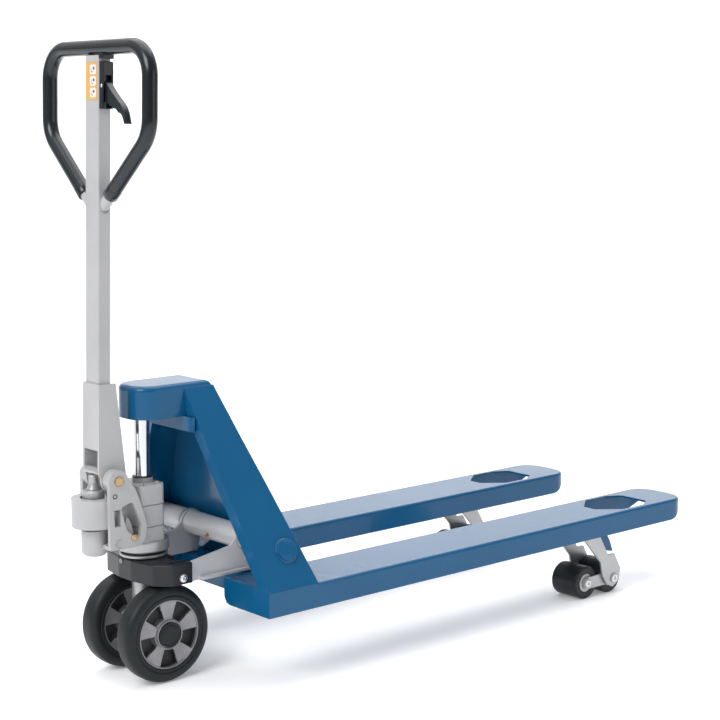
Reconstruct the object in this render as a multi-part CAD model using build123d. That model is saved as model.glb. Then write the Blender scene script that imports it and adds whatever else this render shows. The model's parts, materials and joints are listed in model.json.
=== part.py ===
from build123d import *
import os
from math import asin, atan2, cos, degrees, hypot, radians, sin, tan

# A hand pallet truck with its forks raised.  Every size is in millimetres.
# X runs from the steering axis to the fork tips, Y to the left and Z up from the floor.

# Forks and lift
OVERALL_WIDTH = 540.0
FORK_WIDTH = 150.0
FORK_DEPTH = 50.0
FORK_WALL = 5.0
FORK_TOP = 200.0
LIFT = 115.0
FORK_LENGTH = 1177.0
NOSE_CORNER = 48.0
NOSE_CROWN = 12.0
NOSE_LIP = 14.0
NOSE_RISE_START = 72.0
FORK_EDGE_RADIUS = 6.0
WINDOW_LENGTH = 163.0
WINDOW_TO_TIP = 113.0
WINDOW_REAR_TAPER = 52.0
WINDOW_WIDTH = 120.0
WINDOW_REAR_WIDTH = 36.0
WINDOW_FRONT_WIDTH = 78.0
SEAM_OFFSET = 2.0
SEAM_WIDTH = 1.6
SEAM_DEPTH = 0.6

# A-shaped frame behind the load
FRAME_FOOT_REAR = 113.0
FRAME_FOOT_FRONT = 238.0
FRAME_TOP_REAR = 67.0
FRAME_TOP_FRONT = 139.0
SIDE_PLATE = 6.0
SIDE_TOP = 590.0
SIDE_LIP = 26.0
BACKREST_PLATE = 5.0
HEEL_PLATE = 5.0
HEEL_RISE = 4.0
HEEL_CORNER = 20.0
CROSS_CHANNEL_REAR = 176.0

# Head on top of the ram
HEAD_WIDTH = 110.0
HEAD_TOP = 600.0
HEAD_BOTTOM = 533.0
HEAD_NOSE = 38.0
HEAD_NOSE_RADIUS = 46.0
HEAD_EDGE_RADIUS = 11.0
HEAD_GUSSET_X = 66.0
HEAD_GUSSET_DEPTH = 30.0
HEAD_GUSSET_PLATE = 5.0

# Ram and pump
RAM_RADIUS = 16.0
RAM_FOOT = 300.0
RAM_SOCKET = 27.0
RAM_CLEARANCE = 0.06
PUMP_REAR = 35.0
PUMP_FRONT = 25.0
PUMP_WIDTH = 90.0
PUMP_TOP = 400.0
PUMP_BOTTOM = 284.0
PUMP_CORNER = 10.0
PUMP_GROOVES = (314.0, 358.0)
GROOVE = 2.0
GLAND_RADIUS = 23.0
GLAND_HEIGHT = 10.0
FLANGE_RADIUS = 52.0
FLANGE_BOTTOM = 262.0
BEARING_RADIUS = 44.0
STEM_RADIUS = 25.0
STEM_BOTTOM = 74.0
STEM_BORE_BOTTOM = 150.0

# Casting that carries the handle
HANDLE_PIVOT = (-91.0, 421.0)
BRACKET_WIDTH = 110.0
BRACKET_CHEEK = 10.0
BRACKET_BOSS_RADIUS = 22.0
RING_X = -115.0
RING_RADIUS = 44.0
RING_BORE = 27.0
RING_BOTTOM = 327.0
RING_TOP = 385.0
RING_WEB = 12.0
RING_SLIT_OFFSET = 13.0
RING_SLIT_WIDTH = 14.0
RING_SLIT_HEIGHT = 34.0
PLUNGER_CYLINDER_RADIUS = 26.0
PLUNGER_CYLINDER_BOTTOM = 268.0
PLUNGER_CYLINDER_TOP = 320.0
PIVOT_PIN_RADIUS = 8.0
PIVOT_PLUG_RADIUS = 9.5
PIVOT_PLUG_HEAD = 4.0

# Pump plunger
PLUNGER_RADIUS = 9.0
PLUNGER_TOP = 430.1
PLUNGER_FOOT = 314.0
PLUNGER_TRAVEL = 36.9
SPRING_CAP_RADIUS = 22.0
SPRING_CAP_TOP = 400.0
SPRING_CAP_HEIGHT = 22.0
SPRING_RADIUS = 17.0
SPRING_WIRE = 2.2
SPRING_TURNS = 6

# Handle
HANDLE_LEAN = 1.48
TUBE_X = -103.8
TUBE_DEPTH = 28.0
TUBE_WIDTH = 48.0
TUBE_WALL = 3.0
TUBE_FOOT = 500.0
LOOP_HALF_WIDTH = 179.0
LOOP_TOP = 1263.0
LOOP_SIDE_FOOT = 1097.0
LOOP_JOINT = 940.6
LOOP_TOP_BEND = 58.0
LOOP_FOOT_BEND = 70.0
LOOP_RADIUS = 11.0
GRIP_RADIUS = 15.0
GRIP_END = 53.0
YOKE_REAR = -120.0
YOKE_TOP = 612.0
YOKE_TOP_FRONT = -82.0
YOKE_FOOT_FRONT = -57.0
YOKE_CHEEK = 6.0
YOKE_WINDOW_TOP = 480.0
YOKE_BOSS_RADIUS = 24.0
PUMP_ROLLER = (-113.5, 438.0)
PUMP_ROLLER_RADIUS = 8.0

# Control lever beside the tube
LEVER_PIVOT = (-31.0, 1190.0)
LEVER_THICKNESS = 13.0
HOUSING_DEPTH = 12.0
HOUSING_WIDTH = 24.0
HOUSING_WALL = 4.0
HOUSING_BOTTOM = 1146.0
HOUSING_TOP = 1236.0

# Release lever inside the handle casting
RELEASE_PIVOT = (-58.0, 303.0)
RELEASE_WIDTH = 24.0
RELEASE_PIN_RADIUS = 4.0

# Crosshead
CROSSHEAD_WIDTH = 224.0
CROSSHEAD_TOP = 248.0
CROSSHEAD_BOTTOM = 205.0
CROSSHEAD_REAR = 46.0
CROSSHEAD_EAR_REAR = 8.0
CROSSHEAD_EAR_FRONT = 41.0
CROSSHEAD_HUB_RADIUS = 48.0
EAR_PLATE = 9.0
CROSSHEAD_PIN = (18.4, 218.0)
CROSSHEAD_PIN_RADIUS = 8.0
BOLT_HEAD_RADIUS = 8.5

# Rocker
ROCKER_AXIS = (186.0, 269.0)
ROCKER_TUBE_RADIUS = 25.0
ROCKER_TUBE_PAST_FORK = 10.0
ROCKER_PIN_RADIUS = 18.0
ROCKER_PIN_REACH = 35.0
ROCKER_ARM_OUTER = 100.0
ROCKER_ARM = 6.0
ROCKER_ARM_FLANGE = 9.0
ROCKER_ARM_END = 17.0
ARM_COLLAR = 3.0
PIVOT_BOSS_RADIUS = 24.0
PIVOT_BOSS_HEIGHT = 5.0
SLOT_PLAY = 1.2
ARM_SLOT_PLAY = 2.0

# Push rods
ROD_WIDTH = 14.0
ROD_HEIGHT = 14.0
ROD_CLEVIS = 7.0
ROD_PIN_RADIUS = 5.0
LEVER_PLATE = 12.0

# Load rollers and their brackets
ROLLER_RADIUS = 39.0
ROLLER_WIDTH = 76.0
ROLLER_OFFSET = 14.0
ROLLER_CORE_RADIUS = 22.0
ROLLER_SPACING = 84.0
FRONT_AXLE_TO_TIP = 259.0
BRACKET_REACH = 72.0
BRACKET_PIVOT_Z = 160.0
BRACKET_CRANK = 25.0
AXLE_RADIUS = 8.0
BRACKET_PIN_RADIUS = 9.0
BRACKET_SLEEVE_RADIUS = 13.0
LINK_PLATE = 5.0
LINK_RADIUS = 14.0
CHEEK_PLATE = 5.0
GUSSET_PLATE = 5.0
AXLE_HEAD_RADIUS = 12.0
AXLE_HEAD = 3.0

# Steering wheels
WHEEL_RADIUS = 100.0
WHEEL_WIDTH = 50.0
WHEEL_SPACING = 130.0
RIM_RADIUS = 70.0
RIM_WIDTH = 46.0
HUB_RADIUS = 30.0
SPOKES = 5
POCKET_DEPTH = 14.0
TYRE_SHOULDER = 11.0
WHEEL_AXLE_RADIUS = 10.0
WHEEL_AXLE_SHOULDER = 14.0

# Fits
RUNNING = 0.06
SIDE_PLAY = 0.4
FACE_GAP = 0.3

# Sizes that follow from the ones above
HALF_WIDTH = OVERALL_WIDTH / 2
FORK_Y = HALF_WIDTH - FORK_WIDTH / 2
FORK_BOTTOM = FORK_TOP - FORK_DEPTH
FORK_ROOF = FORK_TOP - FORK_WALL
FORK_INNER = HALF_WIDTH - FORK_WIDTH
TIP = FRAME_FOOT_FRONT + FORK_LENGTH
FRONT_AXLE_X = TIP - FRONT_AXLE_TO_TIP
BRACKET_PIVOT = (FRONT_AXLE_X - BRACKET_REACH, BRACKET_PIVOT_Z)
ROD_Y = FORK_Y
ROLLER_Y = FORK_Y + ROLLER_OFFSET
ROCKER_TUBE_HALF = FORK_Y + ROCKER_TUBE_PAST_FORK
HEAD_HALF = HEAD_WIDTH / 2
SIDE_RUN = HALF_WIDTH - HEAD_HALF
SIDE_HEIGHT = SIDE_TOP - FORK_TOP
SIDE_LEAN = atan2(SIDE_RUN, SIDE_HEIGHT)
BACKREST_SLOPE = (FRAME_FOOT_FRONT - FRAME_TOP_FRONT) / SIDE_HEIGHT
BACKREST_X = BACKREST_PLATE * hypot(1, BACKREST_SLOPE)
CHEEK_INNER = BRACKET_WIDTH / 2 - BRACKET_CHEEK
YOKE_HALF = TUBE_WIDTH / 2 + YOKE_CHEEK
AXLE_Z = WHEEL_RADIUS
CENTRE_X = (TIP + RING_X - RING_RADIUS) / 2

# The rocker turns from the raised to the lowered place of the crosshead pin.
ARM_RAISED = atan2(CROSSHEAD_PIN[1] - ROCKER_AXIS[1], CROSSHEAD_PIN[0] - ROCKER_AXIS[0])
ARM_LOWERED = atan2(CROSSHEAD_PIN[1] + LIFT - ROCKER_AXIS[1], CROSSHEAD_PIN[0] - ROCKER_AXIS[0])
ROCKER_TURN = (ARM_RAISED - ARM_LOWERED) % radians(360)
ROCKER_TURN = min(ROCKER_TURN, radians(360) - ROCKER_TURN)
ARM_SPAN = ROCKER_AXIS[0] - CROSSHEAD_PIN[0]
ARM_LENGTH = hypot(ARM_SPAN, ROCKER_AXIS[1] - CROSSHEAD_PIN[1])
ARM_LENGTH_LOWERED = hypot(ARM_SPAN, CROSSHEAD_PIN[1] + LIFT - ROCKER_AXIS[1])

# The roller bracket turns until the forks have come down by the lift.
BRACKET_LENGTH = hypot(FRONT_AXLE_X - BRACKET_PIVOT[0], BRACKET_PIVOT[1] - ROLLER_RADIUS)
BRACKET_RAISED = asin((ROLLER_RADIUS - BRACKET_PIVOT[1]) / BRACKET_LENGTH)
BRACKET_LOWERED = asin((ROLLER_RADIUS - BRACKET_PIVOT[1] + LIFT) / BRACKET_LENGTH)
BRACKET_TURN = BRACKET_LOWERED - BRACKET_RAISED
ROD_TRAVEL = 2 * BRACKET_CRANK * sin(BRACKET_TURN / 2)
CRANK_PIN = (BRACKET_PIVOT[0] + ROD_TRAVEL / 2, BRACKET_PIVOT[1] + BRACKET_CRANK * cos(BRACKET_TURN / 2))
CRANK_RISE = BRACKET_CRANK * (1 - cos(BRACKET_TURN / 2))
ROD_LEVER = ROD_TRAVEL / 2 / sin(ROCKER_TURN / 2)
LEVER_PIN = (ROCKER_AXIS[0] + ROD_TRAVEL / 2, ROCKER_AXIS[1] - ROD_LEVER * cos(ROCKER_TURN / 2))
LEVER_DROP = ROD_LEVER * (1 - cos(ROCKER_TURN / 2))
ROD_Z = CRANK_PIN[1]
REAR_AXLE_X = FRONT_AXLE_X - ROLLER_SPACING

os.makedirs("parts", exist_ok=True)


def box(x0, x1, y0, y1, z0, z1):
    """A block between two corners."""
    return Pos((x0 + x1) / 2, (y0 + y1) / 2, (z0 + z1) / 2) * Box(x1 - x0, y1 - y0, z1 - z0)


def post(radius, z0, z1, x=0.0, y=0.0):
    """A round bar along Z."""
    return Pos(x, y, (z0 + z1) / 2) * Cylinder(radius, z1 - z0)


def bar(radius, y0, y1, x, z):
    """A round bar along Y."""
    return Pos(x, (y0 + y1) / 2, z) * Rot(90, 0, 0) * Cylinder(radius, y1 - y0)


def outline_xz(points, y0, y1, corner=0.0):
    """A plate whose outline is drawn in X and Z."""
    face = make_face(Polyline(*points, close=True))
    if corner:
        face = fillet(face.vertices(), corner)
    plane = Plane(origin=(0, y1, 0), x_dir=(1, 0, 0), z_dir=(0, -1, 0))
    return extrude(plane * face, amount=y1 - y0, dir=(0, -1, 0))


def strap(p, q, radius_p, radius_q, y0, y1):
    """A flat link with a round end at p and at q."""
    length = hypot(q[0] - p[0], q[1] - p[1])
    nx, nz = -(q[1] - p[1]) / length, (q[0] - p[0]) / length
    points = [
        (p[0] + nx * radius_p, p[1] + nz * radius_p),
        (q[0] + nx * radius_q, q[1] + nz * radius_q),
        (q[0] - nx * radius_q, q[1] - nz * radius_q),
        (p[0] - nx * radius_p, p[1] - nz * radius_p),
    ]
    ends = bar(radius_p, y0, y1, *p) + bar(radius_q, y0, y1, *q)
    return outline_xz(points, y0, y1) + ends


def slot(p, q, radius, y0, y1):
    """The cutter for a slot from p to q."""
    return strap(p, q, radius, radius, y0, y1)


def left_of(part):
    """The mirror image of a right-hand piece."""
    return mirror(part, about=Plane.XZ)


def lean(part):
    """Turns an upright handle piece about its pivot to the handle's resting lean."""
    axis = Axis((HANDLE_PIVOT[0], 0, HANDLE_PIVOT[1]), (0, 1, 0))
    return part.rotate(axis, HANDLE_LEAN)


def side_plane(offset=0.0):
    """Outer face of the right side plate, with its outward normal."""
    c, s = cos(SIDE_LEAN), sin(SIDE_LEAN)
    return Plane(origin=(0, -HALF_WIDTH - offset * c, FORK_TOP + offset * s), x_dir=(1, 0, 0), z_dir=(0, -c, s))


nodes = {}


def keep(name, *solids):
    """Names a node and gathers its separate solids."""
    found = []
    for item in solids:
        found += item.solids()
    nodes[name] = found


# ---------------------------------------------------------------- forks

def fork_plan(inset):
    """The fork seen from above: parallel sides, a slightly crowned end and round corners."""
    half, tip = FORK_WIDTH / 2 - inset, TIP - inset
    shoulder = tip - NOSE_CROWN
    sides = Polyline((shoulder, -half), (FRAME_FOOT_FRONT, -half), (FRAME_FOOT_FRONT, half), (shoulder, half))
    crown = ThreePointArc((shoulder, half), (tip, 0), (shoulder, -half))
    plan = make_face(sides + crown)
    plan = fillet(plan.vertices().sort_by(Axis.X)[-2:], NOSE_CORNER - inset)
    return Pos(0, -FORK_Y) * plan


def fork():
    """A pressed channel, open below, with a closed nose and a window over the rollers."""
    blade = extrude(Pos(0, 0, FORK_BOTTOM) * fork_plan(0), amount=FORK_DEPTH)
    rim = [e for e in blade.faces().sort_by(Axis.Z)[-1].edges() if e.center().X > FRAME_FOOT_FRONT + 1]
    blade = fillet(rim, FORK_EDGE_RADIUS)
    blade -= extrude(Pos(0, 0, FORK_BOTTOM - 1) * fork_plan(FORK_WALL), amount=FORK_ROOF - FORK_BOTTOM + 1)
    rise = TIP - NOSE_RISE_START
    lip = FORK_TOP - NOSE_LIP
    sweep_up = ThreePointArc((rise, FORK_BOTTOM), (rise + 41, FORK_BOTTOM + 11), (rise + 60, lip))
    floor_line = Polyline((rise + 60, lip), (TIP + 10, lip), (TIP + 10, FORK_BOTTOM - 10), (rise, FORK_BOTTOM - 10))
    closing = Line((rise, FORK_BOTTOM - 10), (rise, FORK_BOTTOM))
    plane = Plane(origin=(0, -FORK_INNER, 0), x_dir=(1, 0, 0), z_dir=(0, -1, 0))
    under = make_face(sweep_up + floor_line + closing)
    blade -= extrude(plane * under, amount=FORK_WIDTH, dir=(0, -1, 0))
    front = TIP - WINDOW_TO_TIP
    rear = front - WINDOW_LENGTH
    corners = [
        (rear, WINDOW_REAR_WIDTH / 2), (rear + WINDOW_REAR_TAPER, WINDOW_WIDTH / 2),
        (front - 36, WINDOW_WIDTH / 2),
        (front, WINDOW_FRONT_WIDTH / 2), (front, -WINDOW_FRONT_WIDTH / 2), (front - 36, -WINDOW_WIDTH / 2),
        (rear + WINDOW_REAR_TAPER, -WINDOW_WIDTH / 2), (rear, -WINDOW_REAR_WIDTH / 2),
    ]
    opening = make_face(Polyline(*corners, close=True))
    opening = fillet(opening.vertices(), 9)
    blade -= extrude(Pos(0, -FORK_Y, FORK_ROOF - 1) * opening, amount=FORK_WALL + 2)
    heel = box(FRAME_FOOT_REAR + HEEL_PLATE, FRAME_FOOT_FRONT, -HALF_WIDTH, -FORK_INNER, FORK_BOTTOM, FORK_TOP)
    well = FRAME_FOOT_FRONT - BACKREST_X - 1
    heel -= box(0, well, -HALF_WIDTH + FORK_WALL, -FORK_INNER - FORK_WALL, FORK_BOTTOM - 1, FORK_TOP + 1)
    heel -= box(0, FRAME_FOOT_FRONT, -HALF_WIDTH + FORK_WALL, -FORK_INNER - FORK_WALL, FORK_BOTTOM - 1, FORK_ROOF)
    seam = FRAME_FOOT_FRONT + SEAM_OFFSET
    across = box(seam, seam + SEAM_WIDTH, -HALF_WIDTH - 1, -FORK_INNER + 1, FORK_TOP - SEAM_DEPTH, FORK_TOP + 1)
    return blade + heel - across


right_fork = fork()
keep("fork_right", right_fork)
keep("fork_left", left_of(right_fork))


# ---------------------------------------------------------------- A-shaped frame

def head():
    """The cap that the ram lifts."""
    slant = FRAME_TOP_FRONT + BACKREST_SLOPE * (SIDE_TOP - HEAD_BOTTOM) - BACKREST_X
    peak = FRAME_TOP_FRONT + BACKREST_SLOPE * (SIDE_TOP - HEAD_TOP) - BACKREST_X
    corners = [(-HEAD_NOSE, HEAD_BOTTOM), (slant, HEAD_BOTTOM), (peak, HEAD_TOP), (-HEAD_NOSE, HEAD_TOP)]
    body = outline_xz(corners, -HEAD_HALF, HEAD_HALF)
    nose = body.edges().filter_by(Axis.Z).sort_by(Axis.X)[:2]
    body = fillet(nose, HEAD_NOSE_RADIUS)
    body = fillet(body.faces().sort_by(Axis.Z)[-1].edges(), HEAD_EDGE_RADIUS)
    return body - post(RAM_RADIUS, HEAD_BOTTOM - 1, HEAD_BOTTOM + RAM_SOCKET)


def side_plate():
    """The right side plate with the lip folded inwards along its rear edge."""
    reach = hypot(SIDE_RUN, SIDE_HEIGHT)
    corners = [
        (FRAME_FOOT_REAR, 0), (FRAME_FOOT_FRONT, 0), (FRAME_TOP_FRONT, reach),
        (FRAME_TOP_REAR, reach),
    ]
    skin = extrude(side_plane() * make_face(Polyline(*corners, close=True)), amount=SIDE_PLATE,
                   dir=tuple(-side_plane().z_dir))
    strip = [
        (FRAME_FOOT_REAR, 0), (FRAME_FOOT_REAR + SIDE_PLATE, 0), (FRAME_TOP_REAR + SIDE_PLATE, reach),
        (FRAME_TOP_REAR, reach),
    ]
    lip = extrude(side_plane() * make_face(Polyline(*strip, close=True)), amount=SIDE_LIP,
                  dir=tuple(-side_plane().z_dir))
    far = 2 * HALF_WIDTH
    plate = (skin + lip) & box(0, far, -far, -HEAD_HALF, FORK_TOP, SIDE_TOP)
    return plate


def backrest():
    """The plate that faces the load, cut to the A shape."""
    foot = (FRAME_FOOT_FRONT, FORK_TOP)
    top = (FRAME_TOP_FRONT, SIDE_TOP)
    slab = outline_xz([foot, top, (top[0] - BACKREST_X, top[1]), (foot[0] - BACKREST_X, foot[1])],
                      -HALF_WIDTH, HALF_WIDTH)
    shape = [(-HALF_WIDTH, FORK_TOP), (HALF_WIDTH, FORK_TOP), (HEAD_HALF, SIDE_TOP), (-HEAD_HALF, SIDE_TOP)]
    front_view = make_face(Polyline(*shape, close=True))
    plane = Plane(origin=(0, 0, 0), x_dir=(0, 1, 0), z_dir=(1, 0, 0))
    return slab & extrude(plane * front_view, amount=2 * FRAME_FOOT_FRONT, dir=(1, 0, 0))


def rocker_pin():
    """The stub that carries the rocker, cut flush with the leaning side plate."""
    outer = HALF_WIDTH
    stub = bar(ROCKER_PIN_RADIUS, -outer, -ROCKER_TUBE_HALF + ROCKER_PIN_REACH, *ROCKER_AXIS)
    away = extrude(side_plane() * Pos(ROCKER_AXIS[0], 0) * Rectangle(200, 600), amount=200,
                   dir=tuple(side_plane().z_dir))
    return stub - away


def pivot_boss():
    """The round weld boss over the rocker pin."""
    along = (ROCKER_AXIS[1] - FORK_TOP) / cos(SIDE_LEAN)
    disc = side_plane() * Pos(ROCKER_AXIS[0], along, 0) * Circle(PIVOT_BOSS_RADIUS)
    return extrude(disc, amount=PIVOT_BOSS_HEIGHT, dir=tuple(side_plane().z_dir))


head_solid = head()
pin_right = rocker_pin()
plate_right = side_plate() - head_solid - pin_right
heel_top = FORK_TOP + HEEL_RISE
heel_right = box(FRAME_FOOT_REAR, FRAME_FOOT_REAR + HEEL_PLATE, -HALF_WIDTH, -FORK_INNER, FORK_BOTTOM, heel_top)
heel_right = fillet(heel_right.edges().filter_by(Axis.X).sort_by(Axis.Z)[:2].sort_by(Axis.Y)[-1:], HEEL_CORNER)
heel_right -= plate_right
backrest_solid = backrest() - plate_right - left_of(plate_right)
channel = box(CROSS_CHANNEL_REAR, FRAME_FOOT_FRONT, -FORK_INNER, FORK_INNER, FORK_BOTTOM, FORK_TOP)
channel -= box(CROSS_CHANNEL_REAR + FORK_WALL, FRAME_FOOT_FRONT - FORK_WALL, -HALF_WIDTH, HALF_WIDTH,
               FORK_BOTTOM - 1, FORK_ROOF)
gusset_low = HEAD_BOTTOM - HEAD_GUSSET_DEPTH
gusset = box(HEAD_GUSSET_X, HEAD_GUSSET_X + HEAD_GUSSET_PLATE, -HALF_WIDTH, HALF_WIDTH, gusset_low, HEAD_BOTTOM)
gusset_half = HEAD_HALF + (SIDE_TOP - HEAD_BOTTOM) * tan(SIDE_LEAN)
gusset &= box(0, FRAME_FOOT_FRONT, -gusset_half, gusset_half, 0, HEAD_TOP)
gusset = gusset - plate_right - left_of(plate_right)
gusset = Part() + gusset.solids().sort_by(SortBy.VOLUME)[-1]

keep("heel_plates", heel_right, left_of(heel_right))
keep("side_plates", plate_right, left_of(plate_right))
keep("load_backrest", backrest_solid)
keep("cross_channel", channel)
keep("head_box", head_solid)
keep("head_gusset", gusset)
keep("lift_ram", post(RAM_RADIUS, RAM_FOOT, HEAD_BOTTOM + RAM_SOCKET))
keep("pivot_bosses", pivot_boss(), left_of(pivot_boss()))
keep("rocker_pins", pin_right, left_of(pin_right))

shoulder_inner = ROLLER_Y - ROLLER_WIDTH / 2 - LINK_PLATE - AXLE_HEAD - CHEEK_PLATE - 4 * SIDE_PLAY
bracket_pin = bar(BRACKET_PIN_RADIUS, -HALF_WIDTH + FORK_WALL, -FORK_INNER - FORK_WALL, *BRACKET_PIVOT)
bracket_pin += bar(BRACKET_SLEEVE_RADIUS, -shoulder_inner, -FORK_INNER - FORK_WALL, *BRACKET_PIVOT)
keep("bracket_pivot_pins", bracket_pin, left_of(bracket_pin))


# ---------------------------------------------------------------- rocker

def rocker_arm():
    """The plate from the crosshead pin to the rocker tube, with a foot flange."""
    y0, y1 = -ROCKER_ARM_OUTER, -ROCKER_ARM_OUTER + ROCKER_ARM
    px, pz = CROSSHEAD_PIN
    rx, rz = ROCKER_AXIS
    reach = ROCKER_TUBE_RADIUS + 2
    foot = rz - 65
    points = [
        (px + 6, pz + ROCKER_ARM_END), (px + 33, pz + 27), (px + 126, rz - 9), (rx - 4, rz + reach),
        (rx + reach * 0.8, rz + reach * 0.6), (rx + reach, rz - 12), (rx + 13, foot), (px + 50, foot),
        (px + 2, pz - ROCKER_ARM_END),
    ]
    arm = outline_xz(points, y0, y1) + bar(ROCKER_ARM_END, y0, y1, px, pz)
    arm += bar(ROCKER_TUBE_RADIUS + ARM_COLLAR, y0, y1, rx, rz)
    arm += box(px + 50, rx + 13, y0 - ROCKER_ARM_FLANGE, y0, foot, foot + ROCKER_ARM)
    ux, uz = (px - rx) / ARM_LENGTH, (pz - rz) / ARM_LENGTH
    near = min(ARM_SPAN, ARM_LENGTH)
    far = max(ARM_LENGTH_LOWERED, ARM_LENGTH)
    start = (rx + ux * near, rz + uz * near)
    end = (rx + ux * far, rz + uz * far)
    arm -= slot(start, end, CROSSHEAD_PIN_RADIUS + ARM_SLOT_PLAY, y0 - 1, y1 + 1)
    return arm - bar(ROCKER_TUBE_RADIUS, -ROCKER_TUBE_HALF, ROCKER_TUBE_HALF, rx, rz)


def rod_lever():
    """The short lever under the rocker tube that pushes the rod."""
    y0, y1 = -ROD_Y - LEVER_PLATE / 2, -ROD_Y + LEVER_PLATE / 2
    lever = strap(ROCKER_AXIS, LEVER_PIN, ROCKER_TUBE_RADIUS, ROD_PIN_RADIUS + 8, y0, y1)
    ux, uz = (LEVER_PIN[0] - ROCKER_AXIS[0]) / ROD_LEVER, (LEVER_PIN[1] - ROCKER_AXIS[1]) / ROD_LEVER
    inner = (LEVER_PIN[0] - ux * LEVER_DROP, LEVER_PIN[1] - uz * LEVER_DROP)
    lever -= slot(inner, LEVER_PIN, ROD_PIN_RADIUS + SLOT_PLAY / 2, y0 - 1, y1 + 1)
    return lever - bar(ROCKER_TUBE_RADIUS, -ROCKER_TUBE_HALF, ROCKER_TUBE_HALF, *ROCKER_AXIS)


rocker_tube = bar(ROCKER_TUBE_RADIUS, -ROCKER_TUBE_HALF, ROCKER_TUBE_HALF, *ROCKER_AXIS)
rocker_tube -= bar(ROCKER_PIN_RADIUS + RUNNING, -ROCKER_TUBE_HALF - 1, ROCKER_TUBE_HALF + 1, *ROCKER_AXIS)
keep("rocker_tube", rocker_tube)
arm_right = rocker_arm()
keep("rocker_arms", arm_right, left_of(arm_right))
lever_right = rod_lever()
keep("rod_levers", lever_right, left_of(lever_right))


# ---------------------------------------------------------------- push rods

def push_rod():
    """A bar inside the fork with a clevis at each end."""
    half = ROD_WIDTH / 2
    body = box(FRAME_FOOT_FRONT + 2, CRANK_PIN[0] - 46, -ROD_Y - half, -ROD_Y + half,
               ROD_Z - ROD_HEIGHT / 2, ROD_Z + ROD_HEIGHT / 2)
    for y0 in (-ROD_Y - half - ROD_CLEVIS, -ROD_Y + half):
        y1 = y0 + ROD_CLEVIS
        neck = (FRAME_FOOT_FRONT - 17, ROD_Z)
        rear = strap(LEVER_PIN, neck, ROD_PIN_RADIUS + 4, ROD_HEIGHT / 2, y0, y1)
        rear += box(neck[0], FRAME_FOOT_FRONT + 40, y0, y1, ROD_Z - ROD_HEIGHT / 2, ROD_Z + ROD_HEIGHT / 2)
        front = box(CRANK_PIN[0] - 76, CRANK_PIN[0] + 9, y0, y1, ROD_Z - 7, FORK_ROOF - 1.5)
        top = (CRANK_PIN[0], CRANK_PIN[1] + CRANK_RISE)
        front -= slot(CRANK_PIN, top, ROD_PIN_RADIUS + SLOT_PLAY / 2, y0 - 1, y1 + 1)
        body += rear + front
    half_pin = half + ROD_CLEVIS
    return body + bar(ROD_PIN_RADIUS, -ROD_Y - half_pin, -ROD_Y + half_pin, *LEVER_PIN)


rod_right = push_rod()
keep("push_rod_right", rod_right)
keep("push_rod_left", left_of(rod_right))


# ---------------------------------------------------------------- load rollers

ROLLER_SIDE = ROLLER_WIDTH / 2 + SIDE_PLAY
LINK_SIDE = ROLLER_SIDE + LINK_PLATE
CHEEK_INSIDE = LINK_SIDE + AXLE_HEAD + SIDE_PLAY
CHEEK_SIDE = CHEEK_INSIDE + CHEEK_PLATE


def both_sides(make, inner, outer):
    """Two plates, one each side of the roller."""
    return make(-ROLLER_Y - outer, -ROLLER_Y - inner) + make(-ROLLER_Y + inner, -ROLLER_Y + outer)


def roller_bracket():
    """The bell crank that swings the rollers down."""
    px, pz = BRACKET_PIVOT
    ax = FRONT_AXLE_X
    outline = [
        (px - 34, pz - 12), (px - 12, pz + 13), (px + 14, pz + 12), (px + 19, pz - 10), (px + 50, pz - 61),
        (ax, pz - 61),
        (ax + 22, pz - 100), (ax + 17, pz - 130), (ax - 5, pz - 142), (ax - 25, pz - 132), (ax - 41, pz - 106),
        (px + 24, pz - 76),
    ]
    inner = CHEEK_INSIDE
    cheeks = both_sides(lambda y0, y1: outline_xz(outline, y0, y1, 5), inner, CHEEK_SIDE)
    bracket = cheeks + bar(BRACKET_SLEEVE_RADIUS, -ROLLER_Y - inner, -ROLLER_Y + inner, px, pz)
    bracket += bar(6, -ROLLER_Y - inner, -ROLLER_Y + inner, px - 24, pz - 10)
    lug_half = (ROD_WIDTH - 2) / 2
    bracket += strap(BRACKET_PIVOT, CRANK_PIN, BRACKET_SLEEVE_RADIUS - 1, 8, -ROD_Y - lug_half, -ROD_Y + lug_half)
    pin_half = ROD_WIDTH / 2 + ROD_CLEVIS + 1
    bracket += bar(ROD_PIN_RADIUS, -ROD_Y - pin_half, -ROD_Y + pin_half, *CRANK_PIN)
    bracket -= bar(BRACKET_PIN_RADIUS + RUNNING, -HALF_WIDTH, -FORK_INNER, px, pz)
    return bracket - bar(AXLE_RADIUS, -HALF_WIDTH, -FORK_INNER, ax, ROLLER_RADIUS)


def bracket_gusset():
    """The painted web plate in the bend of the outer cheek."""
    px, pz = BRACKET_PIVOT
    y1 = -ROLLER_Y - CHEEK_INSIDE
    outline = [(px + 12, pz + 6), (px + 30, pz + 5), (px + 47, pz - 8), (px + 60, pz - 28), (px + 72, pz - 57),
               (px + 48, pz - 51), (px + 22, pz - 27)]
    return outline_xz(outline, y1, y1 + GUSSET_PLATE, 3)


def axle(x, head_side):
    """A roller axle with a round head and a nut."""
    shaft = bar(AXLE_RADIUS, -ROLLER_Y - head_side, -ROLLER_Y + head_side, x, ROLLER_RADIUS)
    head_disc = bar(AXLE_HEAD_RADIUS, -ROLLER_Y - head_side - AXLE_HEAD, -ROLLER_Y - head_side, x, ROLLER_RADIUS)
    nut = bar(AXLE_HEAD_RADIUS, -ROLLER_Y + head_side, -ROLLER_Y + head_side + AXLE_HEAD, x, ROLLER_RADIUS)
    return shaft + head_disc + nut


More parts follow.
